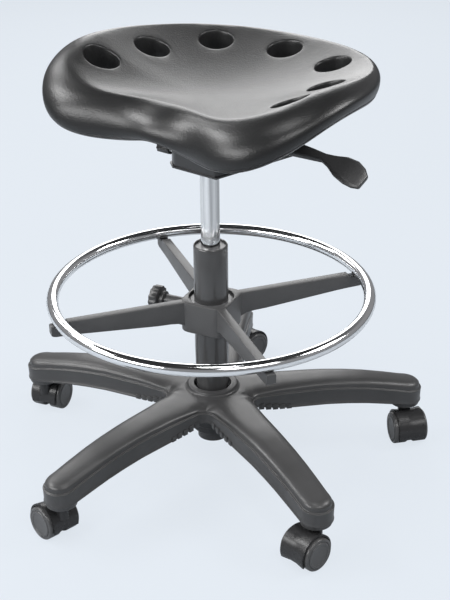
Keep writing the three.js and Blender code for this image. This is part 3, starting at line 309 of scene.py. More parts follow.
def merge(*parts):
    """Several shells in one mesh."""
    whole = bmesh.new()
    for part in parts:
        mesh = bpy.data.meshes.new("part")
        part.to_mesh(mesh)
        whole.from_mesh(mesh)
        part.free()
        bpy.data.meshes.remove(mesh)
    return whole


def moved(bm, matrix):
    bmesh.ops.transform(bm, matrix=matrix, verts=bm.verts)
    return bm


def turn(angle, axis="Z"):
    return Matrix.Rotation(math.radians(angle), 4, axis)


def finished(bm, name, body, finish, nodes=(), place=None, crease=35):
    """Places a piece, shades it, dresses it and hangs it on its body."""
    bmesh.ops.remove_doubles(bm, verts=bm.verts, dist=MERGE)
    bmesh.ops.recalc_face_normals(bm, faces=bm.faces)
    open_edges = sum(1 for e in bm.edges if not e.is_manifold)
    moved(bm, TO_FRAME @ (place or Matrix()))
    mesh = bpy.data.meshes.new(name)
    bm.to_mesh(mesh)
    bm.free()
    mesh.polygons.foreach_set("use_smooth", [True] * len(mesh.polygons))
    mesh.set_sharp_from_angle(angle=math.radians(crease))
    piece = bpy.data.objects.new(name, mesh)
    bpy.context.scene.collection.objects.link(piece)
    mesh.materials.append(finish)
    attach(piece, body)
    if nodes:
        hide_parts(*nodes)
    print(f"{name}: {len(mesh.polygons)} faces, {open_edges} open edges")
    return piece


# %% [markdown]
# The seat is self-skinning foam in one closed mould: a wide saddle with a notch at the front, a
# dish, a thick rolled nose all round and seven round holes through the back. A cloth simulation
# suits stuffed covers, but this skin has the mould's exact form, so it is grown ring by ring
# from tables of the form at angles from the front, evened out to a smooth curve.

# %% The seat's form at each angle
SEAT_BACK = 13.6
DISH = 585.6
UNDER = 548.0
# Each table pairs degrees from the front with millimetres: the outline's reach, the crest's height,
# the height where the nose ends, the lower lip's height, the crest's reach and the lip's inset.
plan_rows = [(0, 149), (14, 149.5), (28, 168.5), (42, 224.5), (56, 244), (75, 243.6), (100, 234.3),
             (125, 230.2), (150, 235.5), (180, 245)]
crest_rows = [(0, 600), (22, 601), (43, 607), (62, 624), (80, 637), (100, 635), (120, 628), (150, 621.5),
              (180, 617.5)]
edge_rows = [(0, 566), (22, 559.5), (43, 563), (54, 583), (66, 605), (80, 621), (100, 620), (120, 613.5),
             (180, 588)]
foot_rows = [(0, 554), (22, 543), (34, 541.5), (45, 548.5), (80, 599.8), (120, 585.6), (180, 559.8)]
crest_reach_rows = [(0, 99), (13, 101), (24, 114), (33, 136), (43, 166), (56, 191), (80, 197), (120, 217),
                    (180, 208)]
inset_rows = [(0, 26), (50, 26), (85, 21), (180, 21)]
EVENING_PASSES = 14
EVENING_WEIGHTS = [(2, 1), (1, 2), (0, 2), (-1, 2), (-2, 1)]
EVENING_TOTAL = sum(weight for shift, weight in EVENING_WEIGHTS)


def around(rows):
    """The table's value at each whole degree, mirrored about the front and the back."""
    at, value = np.array(rows, float).T
    rise = np.diff(value) / np.diff(at)
    span = np.diff(at)
    slope = np.zeros(len(at))
    slope[1:-1] = (rise[:-1] * span[1:] + rise[1:] * span[:-1]) / (span[:-1] + span[1:])
    degrees = np.minimum(np.arange(360), 360 - np.arange(360))
    i = np.clip(np.searchsorted(at, degrees, side="right") - 1, 0, len(span) - 1)
    t = (degrees - at[i]) / span[i]
    ease = value[i] + (value[i + 1] - value[i]) * t * t * (3 - 2 * t)
    return evened(ease + span[i] * (t * (1 - t) ** 2 * slope[i] - t * t * (1 - t) * slope[i + 1]))


def evened(curve):
    """The curve after some passes of a short running mean."""
    for _ in range(EVENING_PASSES):
        curve = sum(weight * np.roll(curve, shift) for shift, weight in EVENING_WEIGHTS) / EVENING_TOTAL
    return curve


plan, crest, edge, foot = (around(rows) for rows in (plan_rows, crest_rows, edge_rows, foot_rows))
crest_reach, inset = around(crest_reach_rows), around(inset_rows)
# The dish falls as steeply everywhere as its curve allows, within these shares of the crest's reach.
DISH_CURVE = 0.0013
LEAST_SPREAD, MOST_SPREAD = 0.8, 1.05
free_spread = np.sqrt((crest - DISH) / DISH_CURVE)
dish_spread = evened(np.clip(free_spread, LEAST_SPREAD * crest_reach, MOST_SPREAD * crest_reach))
print("seat width", round(2 * float(plan.max())), "mm")

# %% [markdown]
# At one angle the seat is a profile: up the dish, over the nose, down the side to the parting
# line, a thin groove where the two mould halves met, round the lower lip and back under to the
# flat that the plate is bolted to. The nose starts close to the dish's own slope, so that no
# crease shows.

# %% One profile of the seat
DISH_STEPS = 15
NOSE_STEPS = 14
NOSE_FULLNESS = 0.8
GROOVE_DEPTH = 1.6
side_turns = [8, 16, 24, 30, 32.5, 35, 37.5, 40, 48, 56, 62, 66, 72, 80, 90]
side_outs = [0, 0, 0, 0, -0.2, -GROOVE_DEPTH, -0.1, 0.5, 0.8, 1.2, 1.4, 0.9, -0.2, -0.3, 0]
UNDER_STEPS = 16
UNDER_CURVE = 1.3
FLAT_RADIUS, FLAT_SHARE = 88.0, 0.66


def seat_profile(degree):
    """Rows of (distance from the middle, height) at an angle from the front."""
    i = int(round(degree)) % 360
    share = np.linspace(1 / DISH_STEPS, 1, DISH_STEPS)
    reach, spread = crest_reach[i], dish_spread[i]
    rows = [(s * (reach * s + spread * (1 - s)), DISH + (crest[i] - DISH) * s * s) for s in share]
    width = plan[i] - reach
    slope = 2 * (crest[i] - DISH) / (2 * reach - spread)
    for k in range(1, NOSE_STEPS + 1):
        out = math.sin(math.pi / 2 * k / NOSE_STEPS)
        lift = slope * width * out * (1 - out) ** 2 * NOSE_FULLNESS
        fall = math.sqrt(max(0, 1 - out * out))
        rows.append((reach + width * out, edge[i] + (crest[i] - edge[i]) * fall + lift))
    for angle, out in zip(side_turns, side_outs):
        bend = math.radians(angle)
        place = plan[i] - inset[i] * (1 - math.cos(bend)) + out
        rows.append((place, edge[i] - (edge[i] - foot[i]) * math.sin(bend)))
    rim = rows[-1]
    flat = min(FLAT_RADIUS, FLAT_SHARE * plan[i])
    for k in range(1, UNDER_STEPS + 1):
        left = 1 - k / UNDER_STEPS
        rows.append((flat + (rim[0] - flat) * left, UNDER + (rim[1] - UNDER) * left ** UNDER_CURVE))
    return rows


print("profile rows", len(seat_profile(0)))

# %% [markdown]
# The skin is closed at the top by one vertex in the middle of the dish. Below, it ends in the
# pocket that holds the insert disc: a round step about a point further back than the pad's own
# middle, so those rings get their own centre.

# %% The closed pad
SEAT_COLUMNS = 180
POCKET_BACK = 22.0
POCKET_RADIUS, POCKET_TOP, POCKET_CHAMFER = 78.4, 553.4, 0.8
column_turns = [math.radians(360 / SEAT_COLUMNS * k) for k in range(SEAT_COLUMNS)]
profiles = [seat_profile(360 / SEAT_COLUMNS * k) for k in range(SEAT_COLUMNS)]


def pad_ring(row):
    """One row of every profile, laid out round the seat."""
    points = []
    for a, profile in zip(column_turns, profiles):
        radius, height = profile[row]
        points.append((radius * math.sin(a), SEAT_BACK - radius * math.cos(a), height))
    return points


def pocket_ring(radius, height):
    return [(radius * math.sin(a), POCKET_BACK - radius * math.cos(a), height) for a in column_turns]


pad_rows = [pad_ring(row) for row in range(len(profiles[0]))]
pad_rows.append(pocket_ring(POCKET_RADIUS + POCKET_CHAMFER, UNDER))
pad_rows.append(pocket_ring(POCKET_RADIUS, UNDER + POCKET_CHAMFER))
pad_rows.append(pocket_ring(POCKET_RADIUS, POCKET_TOP))
pad_rows.append(pocket_ring(POCKET_RADIUS / 2, POCKET_TOP))
pad = grown(pad_rows)
for face in [f for f in pad.faces if len(f.verts) > 4]:
    bmesh.ops.poke(pad, faces=[face])
middle = min(pad.verts, key=lambda v: (v.co - Vector((0, SEAT_BACK, DISH))).length)
middle.co = (0, SEAT_BACK, DISH)
bmesh.ops.recalc_face_normals(pad, faces=pad.faces)
print("pad faces", len(pad.faces))

# %% [markdown]
# The holes could be cut with a Boolean, but that leaves slivers which show as dents in the
# gloss. Instead the vertices inside each circle are removed, the ragged border is moved onto the
# circle and its neighbours are relaxed on the old surface. The border is then extruded over a
# small round lip and bridged to the same ring below.

# %% The seven holes
HOLE_RADIUS, LIP = 25.4, 2.4
# As shares of a hole's radius, how far its circle is cleared and how far its neighbours are relaxed.
CLEARED, RELAXED, RELAX_PASSES = 0.94, 1.7, 10
LEAST_LEVEL = 0.3
ABOVE_PAD, BELOW_PAD = 900, 300
# As shares of the lip, how far each of its rings stands out from the bore and how far it drops.
lip_rows = [(0.6, 0.2), (0.3, 0.45), (0.1, 0.9), (0, 2.0)]
# Degrees from the back and distance from the middle. All but the first hole have a twin.
hole_places = [(0, 171.1), (36.6, 175.9), (72, 161.9), (106.8, 172.1)]
skin = BVHTree.FromBMesh(pad)


def height_at(x, y, upper):
    """The uncut skin's height at a point of the plan, seen from above or from below."""
    start = Vector((x, y, ABOVE_PAD if upper else BELOW_PAD))
    hit = skin.ray_cast(start, Vector((0, 0, -1 if upper else 1)))[0]
    return hit.z if hit else None


def walk(edges):
    """Vertices of one closed border, in order."""
    order = [edges[0].verts[0], edges[0].verts[1]]
    left = set(edges[1:])
    while True:
        step = next((e for e in order[-1].link_edges if e in left), None)
        if step is None:
            return order[:-1] if order[0] == order[-1] else order
        left.remove(step)
        order.append(step.other_vert(order[-1]))


def within(vert, x, y, reach, upper):
    """True for a vertex on that side of the pad and near that point of the plan."""
    return math.hypot(vert.co.x - x, vert.co.y - y) < reach and (vert.normal.z > 0) == upper


def relax(near, upper):
    """Evens out the vertices beside a hole and lays them back on the uncut skin."""
    for _ in range(RELAX_PASSES):
        for vert in near:
            around_it = [e.other_vert(vert).co for e in vert.link_edges]
            mean = sum(around_it, Vector()) / len(around_it)
            px, py = (vert.co.x + mean.x) / 2, (vert.co.y + mean.y) / 2
            height = height_at(px, py, upper)
            if height is not None:
                vert.co = (px, py, height)


def open_circle(x, y, radius, upper):
    """Clears a round opening in the skin and returns its border ring."""
    doomed = [v for v in pad.verts if within(v, x, y, radius * CLEARED, upper)]
    open_before = {e for e in pad.edges if e.is_boundary}
    bmesh.ops.delete(pad, geom=doomed, context="VERTS")
    border = walk([e for e in pad.edges if e.is_boundary and e not in open_before])
    angles = np.unwrap([math.atan2(v.co.y - y, v.co.x - x) for v in border])
    sign = 1 if angles[-1] > angles[0] else -1
    steps = sign * math.tau / len(border) * np.arange(len(border))
    start = float(np.mean(angles - steps))
    for vert, step in zip(border, steps):
        px, py = x + radius * math.cos(start + step), y + radius * math.sin(start + step)
        vert.co = (px, py, height_at(px, py, upper))
    fixed = set(border)
    near = [v for v in pad.verts if v not in fixed and not v.is_boundary
            and abs(v.normal.z) > LEAST_LEVEL and within(v, x, y, radius * RELAXED, upper)]
    relax(near, upper)
    return border


def lip_ring(border, x, y, radius, drop):
    """Extrudes a hole's border to a new radius, that much lower."""
    points = []
    for vert in border:
        a = math.atan2(vert.co.y - y, vert.co.x - x)
        points.append((x + radius * math.cos(a), y + radius * math.sin(a), vert.co.z - drop))
    return next_ring(pad, border, points)


def bore_hole(x, y):
    """Opens both sides of the pad, rounds the borders and joins them."""
    upper = open_circle(x, y, HOLE_RADIUS + LIP, True)
    for radius, drop in lip_rows:
        upper = lip_ring(upper, x, y, HOLE_RADIUS + LIP * radius, LIP * drop)
    lower = open_circle(x, y, HOLE_RADIUS + LIP / 2, False)
    lower = lip_ring(lower, x, y, HOLE_RADIUS, -LIP / 2)
    bmesh.ops.bridge_loops(pad, edges=closed_edges(pad, upper) + closed_edges(pad, lower))


for angle, reach in hole_places:
    for side in (1, -1) if angle else (1,):
        a = math.radians(180 + angle * side)
        bore_hole(reach * math.sin(a), SEAT_BACK - reach * math.cos(a))
seat = finished(pad, "moulded_seat", "seat", foam_skin, ["seat_pad"], crease=50)
smoother = seat.modifiers.new("smoother", "SUBSURF")
smoother.levels = smoother.render_levels = 1

# %% [markdown]
# The column is a chain of turned tubes. Tubes could be CAD cylinders, but twenty-four flats show
# in polished metal, so the bright cylinder and the black outer tube are spun again with many
# steps, and the tube's mouth gets a rolled edge.

# %% The column
cylinder_profile = [(5.3, 200), (13.2, 200), (14, 200.8), (14, 486), (12.9, 524), (4.1, 524), (4.1, 500),
                    (12.4, 499), (12.4, 207), (5.3, 206)]
cylinder = turned(cylinder_profile, steps=64)
finished(cylinder, "bright_cylinder", "lift", cylinder_steel, ["gas_cylinder"], crease=30)
tube_profile = [(20.9, 36), (23.4, 36), (24, 125), (25.5, 190), (25.5, 357.6), (25.2, 358.8), (24.5, 359.7),
                (23.6, 360), (23.0, 359.4), (23, 190), (21.6, 125), (20.9, 44), (6, 44), (6, 41), (20.9, 41)]
tube = turned(tube_profile, steps=72)
finished(tube, "outer_tube", "stand", column_paint, ["column_tube"], crease=30)

# %% [markdown]
# The foot ring is a bent and chromed tube. A circle is spun about the column's axis, which is
# what the bending rollers do, and it rests on the four arms of a moulded spider.

# %% The foot ring
RING_RADIUS, RING_TUBE, RING_HEIGHT = 235.1, 9.0, 280.1
TUBE_SIDES, RING_STEPS = 28, 180
ring = bmesh.new()
section = bmesh.ops.create_circle(ring, segments=TUBE_SIDES, radius=RING_TUBE)["verts"]
stand_up = Matrix.Translation((RING_RADIUS, 0, RING_HEIGHT)) @ turn(90, "X")
bmesh.ops.transform(ring, matrix=stand_up, verts=section)
bmesh.ops.spin(ring, geom=ring.verts[:] + ring.edges[:], cent=(0, 0, 0), axis=(0, 0, 1), dvec=(0, 0, 0),
               angle=math.tau, steps=RING_STEPS, use_merge=True, use_duplicate=False)
finished(ring, "chromed_ring", "footring", chrome, ["foot_ring"], crease=60)

# %% [markdown]
# The spider holds the ring. Its hub is an eight-sided sleeve with rounded corners and a sunk
# top, and each arm is a deep flat bar with a step that the ring sits in. The hub grows ring by
# ring round its bore; each arm grows from sections of one bar, and is turned to four places.

# %% The spider's hub
SPIDER_TURN = 57
SPIDER_TOP, SPIDER_FOOT = 275.0, 226.0
HUB_STEPS, CORNER_POWER = 96, 24
hub_turns = [math.tau * k / HUB_STEPS for k in range(HUB_STEPS)]


def round_ring(radius, height):
    return [(radius * math.cos(a), radius * math.sin(a), height) for a in hub_turns]


def eight_sided(half, corner, height):
    """Points on a square with cut corners, softened where the sides meet."""
    points = []
    for a in hub_turns:
        sides = [abs(math.cos(a)) / half, abs(math.sin(a)) / half]
        sides += [abs(math.cos(a - q)) / corner for q in (math.pi / 4, -math.pi / 4)]
        radius = sum(s ** CORNER_POWER for s in sides) ** (-1 / CORNER_POWER)
        points.append((radius * math.cos(a), radius * math.sin(a), height))
    return points


hub_rows = [
    round_ring(25.9, SPIDER_FOOT),
    eight_sided(35.5, 44, SPIDER_FOOT),
    eight_sided(37, 45.8, SPIDER_FOOT + 1.2),
    eight_sided(38, 47, SPIDER_TOP - 2.5),
    eight_sided(37.3, 46.3, SPIDER_TOP - 0.7),
    eight_sided(36, 45, SPIDER_TOP),
    round_ring(34.2, SPIDER_TOP),
    round_ring(33.5, SPIDER_TOP - 0.6),
    round_ring(33.5, SPIDER_TOP - 4),
    round_ring(31, SPIDER_TOP - 4),
    round_ring(31, SPIDER_FOOT + 2),
    round_ring(25.9, SPIDER_FOOT + 2),
]
spider_hub = moved(grown(hub_rows, ends="ring"), turn(SPIDER_TURN - 45))
print("hub faces", len(spider_hub.faces))

# %% The spider's arms
ARMS = 4
ARM_HALF, ARM_CORNER = 7.0, 1.3
RING_SEAT = RING_HEIGHT - RING_TUBE - 0.3
# Each place along the arm: the distance from the column's axis, the upper and the lower height.
arm_places = [(36, 273.6, 231), (40, 274.2, 232), (46, 274.6, 237), (54, 274.6, 240.6), (66, 274.6, 242),
              (86, 274.6, 242.7), (202, 274.6, 251.9), (220.8, 274.6, 252.9), (224.6, RING_SEAT, 253),
              (239, RING_SEAT, 253.4), (244, RING_SEAT, 254.6), (246, RING_SEAT - 1, 256.4)]


def bar_ring(x, top, low):
    """Section of a flat bar with rounded corners, standing across X."""
    side, head, sill = ARM_HALF - ARM_CORNER, top - ARM_CORNER, low + ARM_CORNER
    points = []
    for quarter, (y, z) in enumerate([(side, head), (-side, head), (-side, sill), (side, sill)]):
        for part in (0, 30, 60, 90):
            bend = math.radians(90 * quarter + part)
            points.append((x, y + ARM_CORNER * math.cos(bend), z + ARM_CORNER * math.sin(bend)))
    return points


spider_arms = []
for k in range(ARMS):
    arm = grown([bar_ring(*place) for place in arm_places])
    spider_arms.append(moved(arm, turn(SPIDER_TURN + 360 / ARMS * k)))
spider = merge(spider_hub, *spider_arms)
finished(spider, "spider", "footring", spider_plastic, ["ring_spider"], crease=40)

# %% [markdown]
# Two scalloped knobs turn by hand: the large one presses the clamp screw on the column, the
# small one at the seat locks the tilt. Their grips are a round outline with flutes, drawn from
# a cosine, with a softened rim and, on the large one, a stepped neck.

# %% The knobs
FLUTE_STEPS = 8
DIMPLE_RIM, DIMPLE_FLOOR, DIMPLE_DEPTH = 0.62, 0.55, 0.8


def fluted(radius, depth, flutes, height):
    """A round outline with that many flutes of that depth."""
    count = flutes * FLUTE_STEPS
    points = []
    for k in range(count):
        a = math.tau * k / count
        out = radius - depth * (1 - math.cos(a * flutes)) / 2
        points.append((out * math.cos(a), out * math.sin(a), height))
    return points


def grip(radius, depth, flutes, low, high, rounding):
    """A fluted grip with softened rims and a shallow dimple in its outer face."""
    near = rounding * 0.3
    rims = [(rounding, low), (near, low + near), (0, low + rounding),
            (0, high - rounding), (near, high - near), (rounding, high)]
    rows = [fluted(radius - back, depth, flutes, height) for back, height in rims]
    rows.append(fluted(radius * DIMPLE_RIM, 0, flutes, high))
    rows.append(fluted(radius * DIMPLE_FLOOR, 0, flutes, high - DIMPLE_DEPTH))
    return grown(rows)


CLAMP_TURN, CLAMP_HEIGHT = 192, 253.0
clamp_place = Matrix.Translation((0, 0, CLAMP_HEIGHT)) @ turn(CLAMP_TURN) @ turn(90, "Y")
neck_profile = [(5.3, 39), (8.4, 39), (9, 39.8), (9, 76.5), (12.4, 77), (13, 77.8), (13, 85), (5.3, 85)]
clamp_grip = grip(radius=20, depth=1.4, flutes=12, low=84, high=98, rounding=1.8)
clamp = merge(clamp_grip, turned(neck_profile, steps=40))
finished(clamp, "clamp_grip", "ring_clamp", handle_plastic, ["clamp_knob"], clamp_place)
LOCK_BACK, LOCK_HEIGHT = -26.0, 504.5
lock_place = Matrix.Translation((0, LOCK_BACK, LOCK_HEIGHT)) @ turn(-90, "Y")
lock = grip(radius=8, depth=1, flutes=8, low=48.5, high=70, rounding=0.9)
finished(lock, "tilt_lock_grip", "lock", handle_plastic, ["lock_knob"], lock_place)

# %% [markdown]
# The mechanism under the seat is a pressed steel tray. Its floor stands out in a thin lip that
# shines along the lower edge, and one wall has a notch for the release lever. The outline is a
# five-sided plan; the wall's rows share that outline, with the heights lowered at the notch.

# %% The pressed tray
TRAY_FLOOR, TRAY_RIM, NOTCH_FLOOR = 485.0, 538.0, 529.5
SHEET, LIP_WIDTH, LIP_SHOULDER = 2.5, 2.0, 2.6
NOTCH = (8.4, 21.6)
NOTCH_SLOPE = 0.2
TALL_EDGE = 20
tray_plan = [(-33.0, -43.0), (45.0, -43.0), (81.0, 100.0), (-73.0, 100.0), (-47.0, -31.0)]


def inward(outline, distance):
    """Outline moved inwards, each side along its own normal."""
    lines = []
    for (x, y), (u, v) in zip(outline, outline[1:] + outline[:1]):
        length = math.hypot(u - x, v - y)
        nx, ny = -(v - y) / length, (u - x) / length
        lines.append((nx, ny, nx * x + ny * y + distance))
    points = []
    for (a, b, e), (c, d, f) in zip(lines[-1:] + lines[:-1], lines):
        det = a * d - b * c
        points.append(((e * d - f * b) / det, (a * f - c * e) / det))
    return points


def tray_row(outline, height, lowered=None):
    """The outline at a height, with four more points on its lever side, two of them lowered."""
    (x0, y0), (x1, y1) = outline[1], outline[2]
    notch_sides = (NOTCH[0] - NOTCH_SLOPE, NOTCH[0], NOTCH[1], NOTCH[1] + NOTCH_SLOPE)
    extra = [(x0 + (x1 - x0) * (y - y0) / (y1 - y0), y) for y in notch_sides]
    low = height if lowered is None else lowered
    heights = [height] * 3 + [low] * 2 + [height] * 4
    return [(x, y, z) for (x, y), z in zip(outline[:2] + extra + outline[2:], heights)]


def upright_corner(edge_of_wall):
    """True for the tall bends of the wall, away from the notch."""
    (x0, y0, z0), (x1, _, z1) = (vert.co for vert in edge_of_wall.verts)
    return abs(z0 - z1) > TALL_EDGE and abs(x0 - x1) < 1 and not NOTCH[0] - 1 < y0 < NOTCH[1] + 1


wall_out, wall_in = inward(tray_plan, LIP_WIDTH), inward(tray_plan, LIP_WIDTH + SHEET)
tray = grown([
    tray_row(tray_plan, TRAY_FLOOR),
    tray_row(tray_plan, TRAY_FLOOR + SHEET),
    tray_row(wall_out, TRAY_FLOOR + LIP_SHOULDER),
    tray_row(wall_out, TRAY_RIM, NOTCH_FLOOR),
    tray_row(wall_in, TRAY_RIM, NOTCH_FLOOR),
    tray_row(wall_in, TRAY_FLOOR + SHEET),
])
soften(tray, width=5, angle=25, segments=5, which=upright_corner)
soften(tray, width=0.7, angle=50)
finished(tray, "pressed_tray", "lift", black_paint, ["mechanism_housing"], crease=35)

# %% [markdown]
# The release handle is a moulded paddle pushed over the lever bar. Its section changes along
# its length: a deep oval at the root, a slim neck, then a wide flat blade that droops and turns.
# The rings of one eight-sided section are laid out at those places, and its edges are rounded.

# %% The release handle
HANDLE_ROOT, HANDLE_TIP = 100.0, 248.0
LEVER_BACK, LEVER_MIDDLE = 15.0, 534.0
HANDLE_DROP, HANDLE_HALF, HANDLE_THICK, HANDLE_TWIST = 24.0, 23.0, 5.5, 20.0
handle_rows = [(0, 0.04, 0.565, 1, 0.5), (0.27, 0.04, 0.543, 0.95, 0.7), (0.44, 0.08, 0.413, 0.85, 0.9),
               (0.574, 0.125, 0.304, 0.76, 1), (0.649, 0.21, 0.478, 0.73, 1), (0.757, 0.375, 0.87, 0.73, 1),
               (0.865, 0.58, 1, 0.73, 1), (0.946, 0.81, 0.87, 0.65, 1), (1, 1, 0.565, 0.5, 1)]
blade_section = [(1, -0.35), (1, 0.35), (0.78, 1), (0, 1), (-0.78, 1), (-1, 0.35), (-1, -0.35), (-0.78, -1),
                 (0, -1), (0.78, -1)]


def handle_ring(place, drop, width, thick, twist):
    """One section, given as shares of the handle's length and of its largest measures."""
    x = HANDLE_ROOT + (HANDLE_TIP - HANDLE_ROOT) * place
    tilt = math.radians(HANDLE_TWIST * twist)
    points = []
    for across, up in blade_section:
        a, b = across * width * HANDLE_HALF, up * thick * HANDLE_THICK
        y = LEVER_BACK + a * math.cos(tilt) - b * math.sin(tilt)
        z = LEVER_MIDDLE - HANDLE_DROP * drop + a * math.sin(tilt) + b * math.cos(tilt)
        points.append((x, y, z))
    return points


handle = grown([handle_ring(*row) for row in handle_rows])
soften(handle, width=1.2, angle=20, segments=3)
finished(handle, "release_paddle", "lever", handle_plastic, ["lever_handle"], crease=28)

# %% [markdown]
# The five-legged base is one moulding of glass-filled nylon, hollow below. Each leg has a
# crowned roof that droops to the caster, and the roofs run into each other round the column
# with soft inner corners. A grid can be bent to one leg's roof: towards the hub its sides lie
# on the lines half way to the next legs, so five turned copies join without a seam.

# %% The plan of one leg
LEGS, LEG_TURN, LEG_REACH, END_RADIUS = 5, 47.34, 307.7, 22.0
BETWEEN_LEGS = 360 / LEGS
HALF_SECTOR = math.radians(180 / LEGS)
ROOT_HALF, ROOT_BLEND, FILLET = 32.5, 30, 20.0
ROOF_FROM = 38
root_centre = (ROOT_HALF + FILLET) / math.sin(HALF_SECTOR)
fillet_end = root_centre * math.cos(HALF_SECTOR)
fillet_start = (root_centre - FILLET) * math.cos(HALF_SECTOR)
# Each table pairs a distance from the column's axis with a half width or a height.
half_rows = [(60, 32.8), (80, 31.6), (115, 28.6), (175, 25.6), (240, 23.6), (300, 22), (308, 22)]
crown_rows = [(38, 122.4), (60, 122.6), (90, 123.6), (115, 124), (150, 123.9), (175, 123), (210, 120),
              (240, 116), (275, 109.4), (300, 104), (315, 101.6), (332, 100.6)]
roof_edge_rows = [(38, 115.4), (60, 116.2), (115, 115.4), (175, 114), (210, 110.6), (240, 106.5),
                  (275, 99.6), (307, 92), (332, 89.5)]
wall_foot_rows = [(38, 98), (60, 97), (90, 90.6), (115, 86.6), (175, 84.4), (210, 81.5), (240, 77.7),
                  (275, 71.6), (307, 65.7), (332, 64.5)]


def along(rows, x):
    at, value = np.array(rows, float).T
    return float(np.interp(x, at, value))


def half_width(x):
    """Half width of the roof at a distance from the column's axis."""
    if x < fillet_start:
        return x * math.tan(HALF_SECTOR)
    if x < fillet_end:
        return ROOT_HALF + FILLET - math.sqrt(FILLET ** 2 - (fillet_end - x) ** 2)
    if x > LEG_REACH:
        return math.sqrt(max(0.0, END_RADIUS ** 2 - (x - LEG_REACH) ** 2))
    blend = max(0, 1 - (x - fillet_end) / ROOT_BLEND)
    return along(half_rows, x) + (ROOT_HALF - along(half_rows, fillet_end)) * blend


corner_shares = np.array([0.06, 0.2, 0.4, 0.6, 0.8, 1])
corner_stations = fillet_start + (fillet_end - fillet_start) * corner_shares
tip_stations = LEG_REACH + END_RADIUS * np.sin(np.linspace(0.12, 1, 11) * math.pi / 2)
stations = [*np.linspace(ROOF_FROM, fillet_start, 7), *corner_stations,
            *np.linspace(fillet_end + 5, LEG_REACH, 38), *tip_stations]
print("leg stations", len(stations), "inner corner at", round(root_centre - FILLET, 1), "mm")

# %% [markdown]
# Across a leg the roof is a rolled crown that ends upright at its border. At the tip the same
# rule runs round the caster's centre. Between two legs the fall is softer and starts only past
# the collar, which leaves the soft valley of the real one.

# %% The roof as a bent grid
ACROSS = 28
SOFT_POWER, CROWN_POWER = 4, 2.6
FALL_FROM, ROLL_LENGTH = 40, 28
INNER_PULL = 0.86


def eased(share):
    """A share held between 0 and 1, with a soft start and a soft end."""
    held = min(1, max(0, share))
    return held * held * (3 - 2 * held)


def fallen(distance, roll):
    """Share of the roof's fall at a distance from its middle, soft (0) or rolled (1)."""
    soft = distance ** SOFT_POWER
    rolled = 1 - max(0.0, 1 - distance ** CROWN_POWER) ** (1 / CROWN_POWER)
    return soft + (rolled - soft) * roll


def roof_point(u, s):
    """A point of the roof: u runs from 0 out to 1, s from -1 across to 1, closer at the borders."""
    x = float(np.interp(u * (len(stations) - 1), range(len(stations)), stations))
    s = s * (1.5 - 0.5 * s * s)
    y = s * half_width(x)
    if x < fillet_start:
        near = (fillet_start - x) / (fillet_start - ROOF_FROM)
        ray = s * HALF_SECTOR
        x += (x * math.cos(ray) / math.cos(HALF_SECTOR) * INNER_PULL - x) * near
        y = x * math.tan(ray) * near + x * math.tan(HALF_SECTOR) * s * (1 - near)
    distance = abs(s) if x <= LEG_REACH else min(1, math.hypot(x - LEG_REACH, y) / END_RADIUS)
    begun = eased((x - FALL_FROM) / (fillet_start - FALL_FROM))
    fall = (along(crown_rows, x) - along(roof_edge_rows, x)) * begun
    roll = min(1, max(0, (x - fillet_start) / ROLL_LENGTH))
    return (x, y, along(crown_rows, x) - fall * fallen(distance, roll))


SEAM_GAP, LEAST_EDGE = 0.05, 0.01
star = bmesh.new()
for k in range(LEGS):
    leg = bmesh.new()
    bmesh.ops.create_grid(leg, x_segments=len(stations) - 1, y_segments=ACROSS, size=1)
    for vert in leg.verts:
        vert.co = roof_point((vert.co.x + 1) / 2, vert.co.y)
    moved(leg, turn(LEG_TURN + BETWEEN_LEGS * k))
    star = merge(star, leg)
bmesh.ops.remove_doubles(star, verts=star.verts, dist=SEAM_GAP)
bmesh.ops.dissolve_degenerate(star, dist=LEAST_EDGE, edges=star.edges)
print("roof faces", len(star.faces))

# %% [markdown]
# The walls come down from the roof's border in rows. They first step out on a narrow ledge, whose
# round edge draws the bright line along each leg, then stand upright down to a small bead.
# Solidify then gives the whole skin a wall of just under four millimetres, as the mould does.

# %% The walls
INNER_BORDER = 62
RECESS_FROM, RECESS_TO, RECESS_START, RECESS_END = 74, 286, 5, 6
WALL_THICKNESS = 0.0038
# Each row: how far out from the roof's border, how far down from it or else above the wall's foot,
# and how far it is drawn in along the middle of the leg.
wall_rows = [(0, 0.7, 0, 0), (0.1, 1.6, 0, 0), (0.4, 2.3, 0, 0), (1.2, 2.5, 0, 0), (2.2, 2.55, 0, 0),
             (2.8, 2.8, 0, 0), (3.2, 3.4, 0, 0), (3.2, 4.4, 0, 0), (3.0, 6.5, 0, 0.3), (2.5, 0, 7, 0.7),
             (2.6, 0, 3.4, 0.5), (3.0, 0, 2.6, 0), (3.2, 0, 1.6, 0), (3.1, 0, 0.5, 0), (2.5, 0, 0.1, 0)]


def leg_share(point):
    """Distance from the column's axis along the nearest leg."""
    angle = math.degrees(math.atan2(point.y, point.x)) - LEG_TURN
    aside = (angle + BETWEEN_LEGS / 2) % BETWEEN_LEGS - BETWEEN_LEGS / 2
    return math.hypot(point.x, point.y) * math.cos(math.radians(aside))


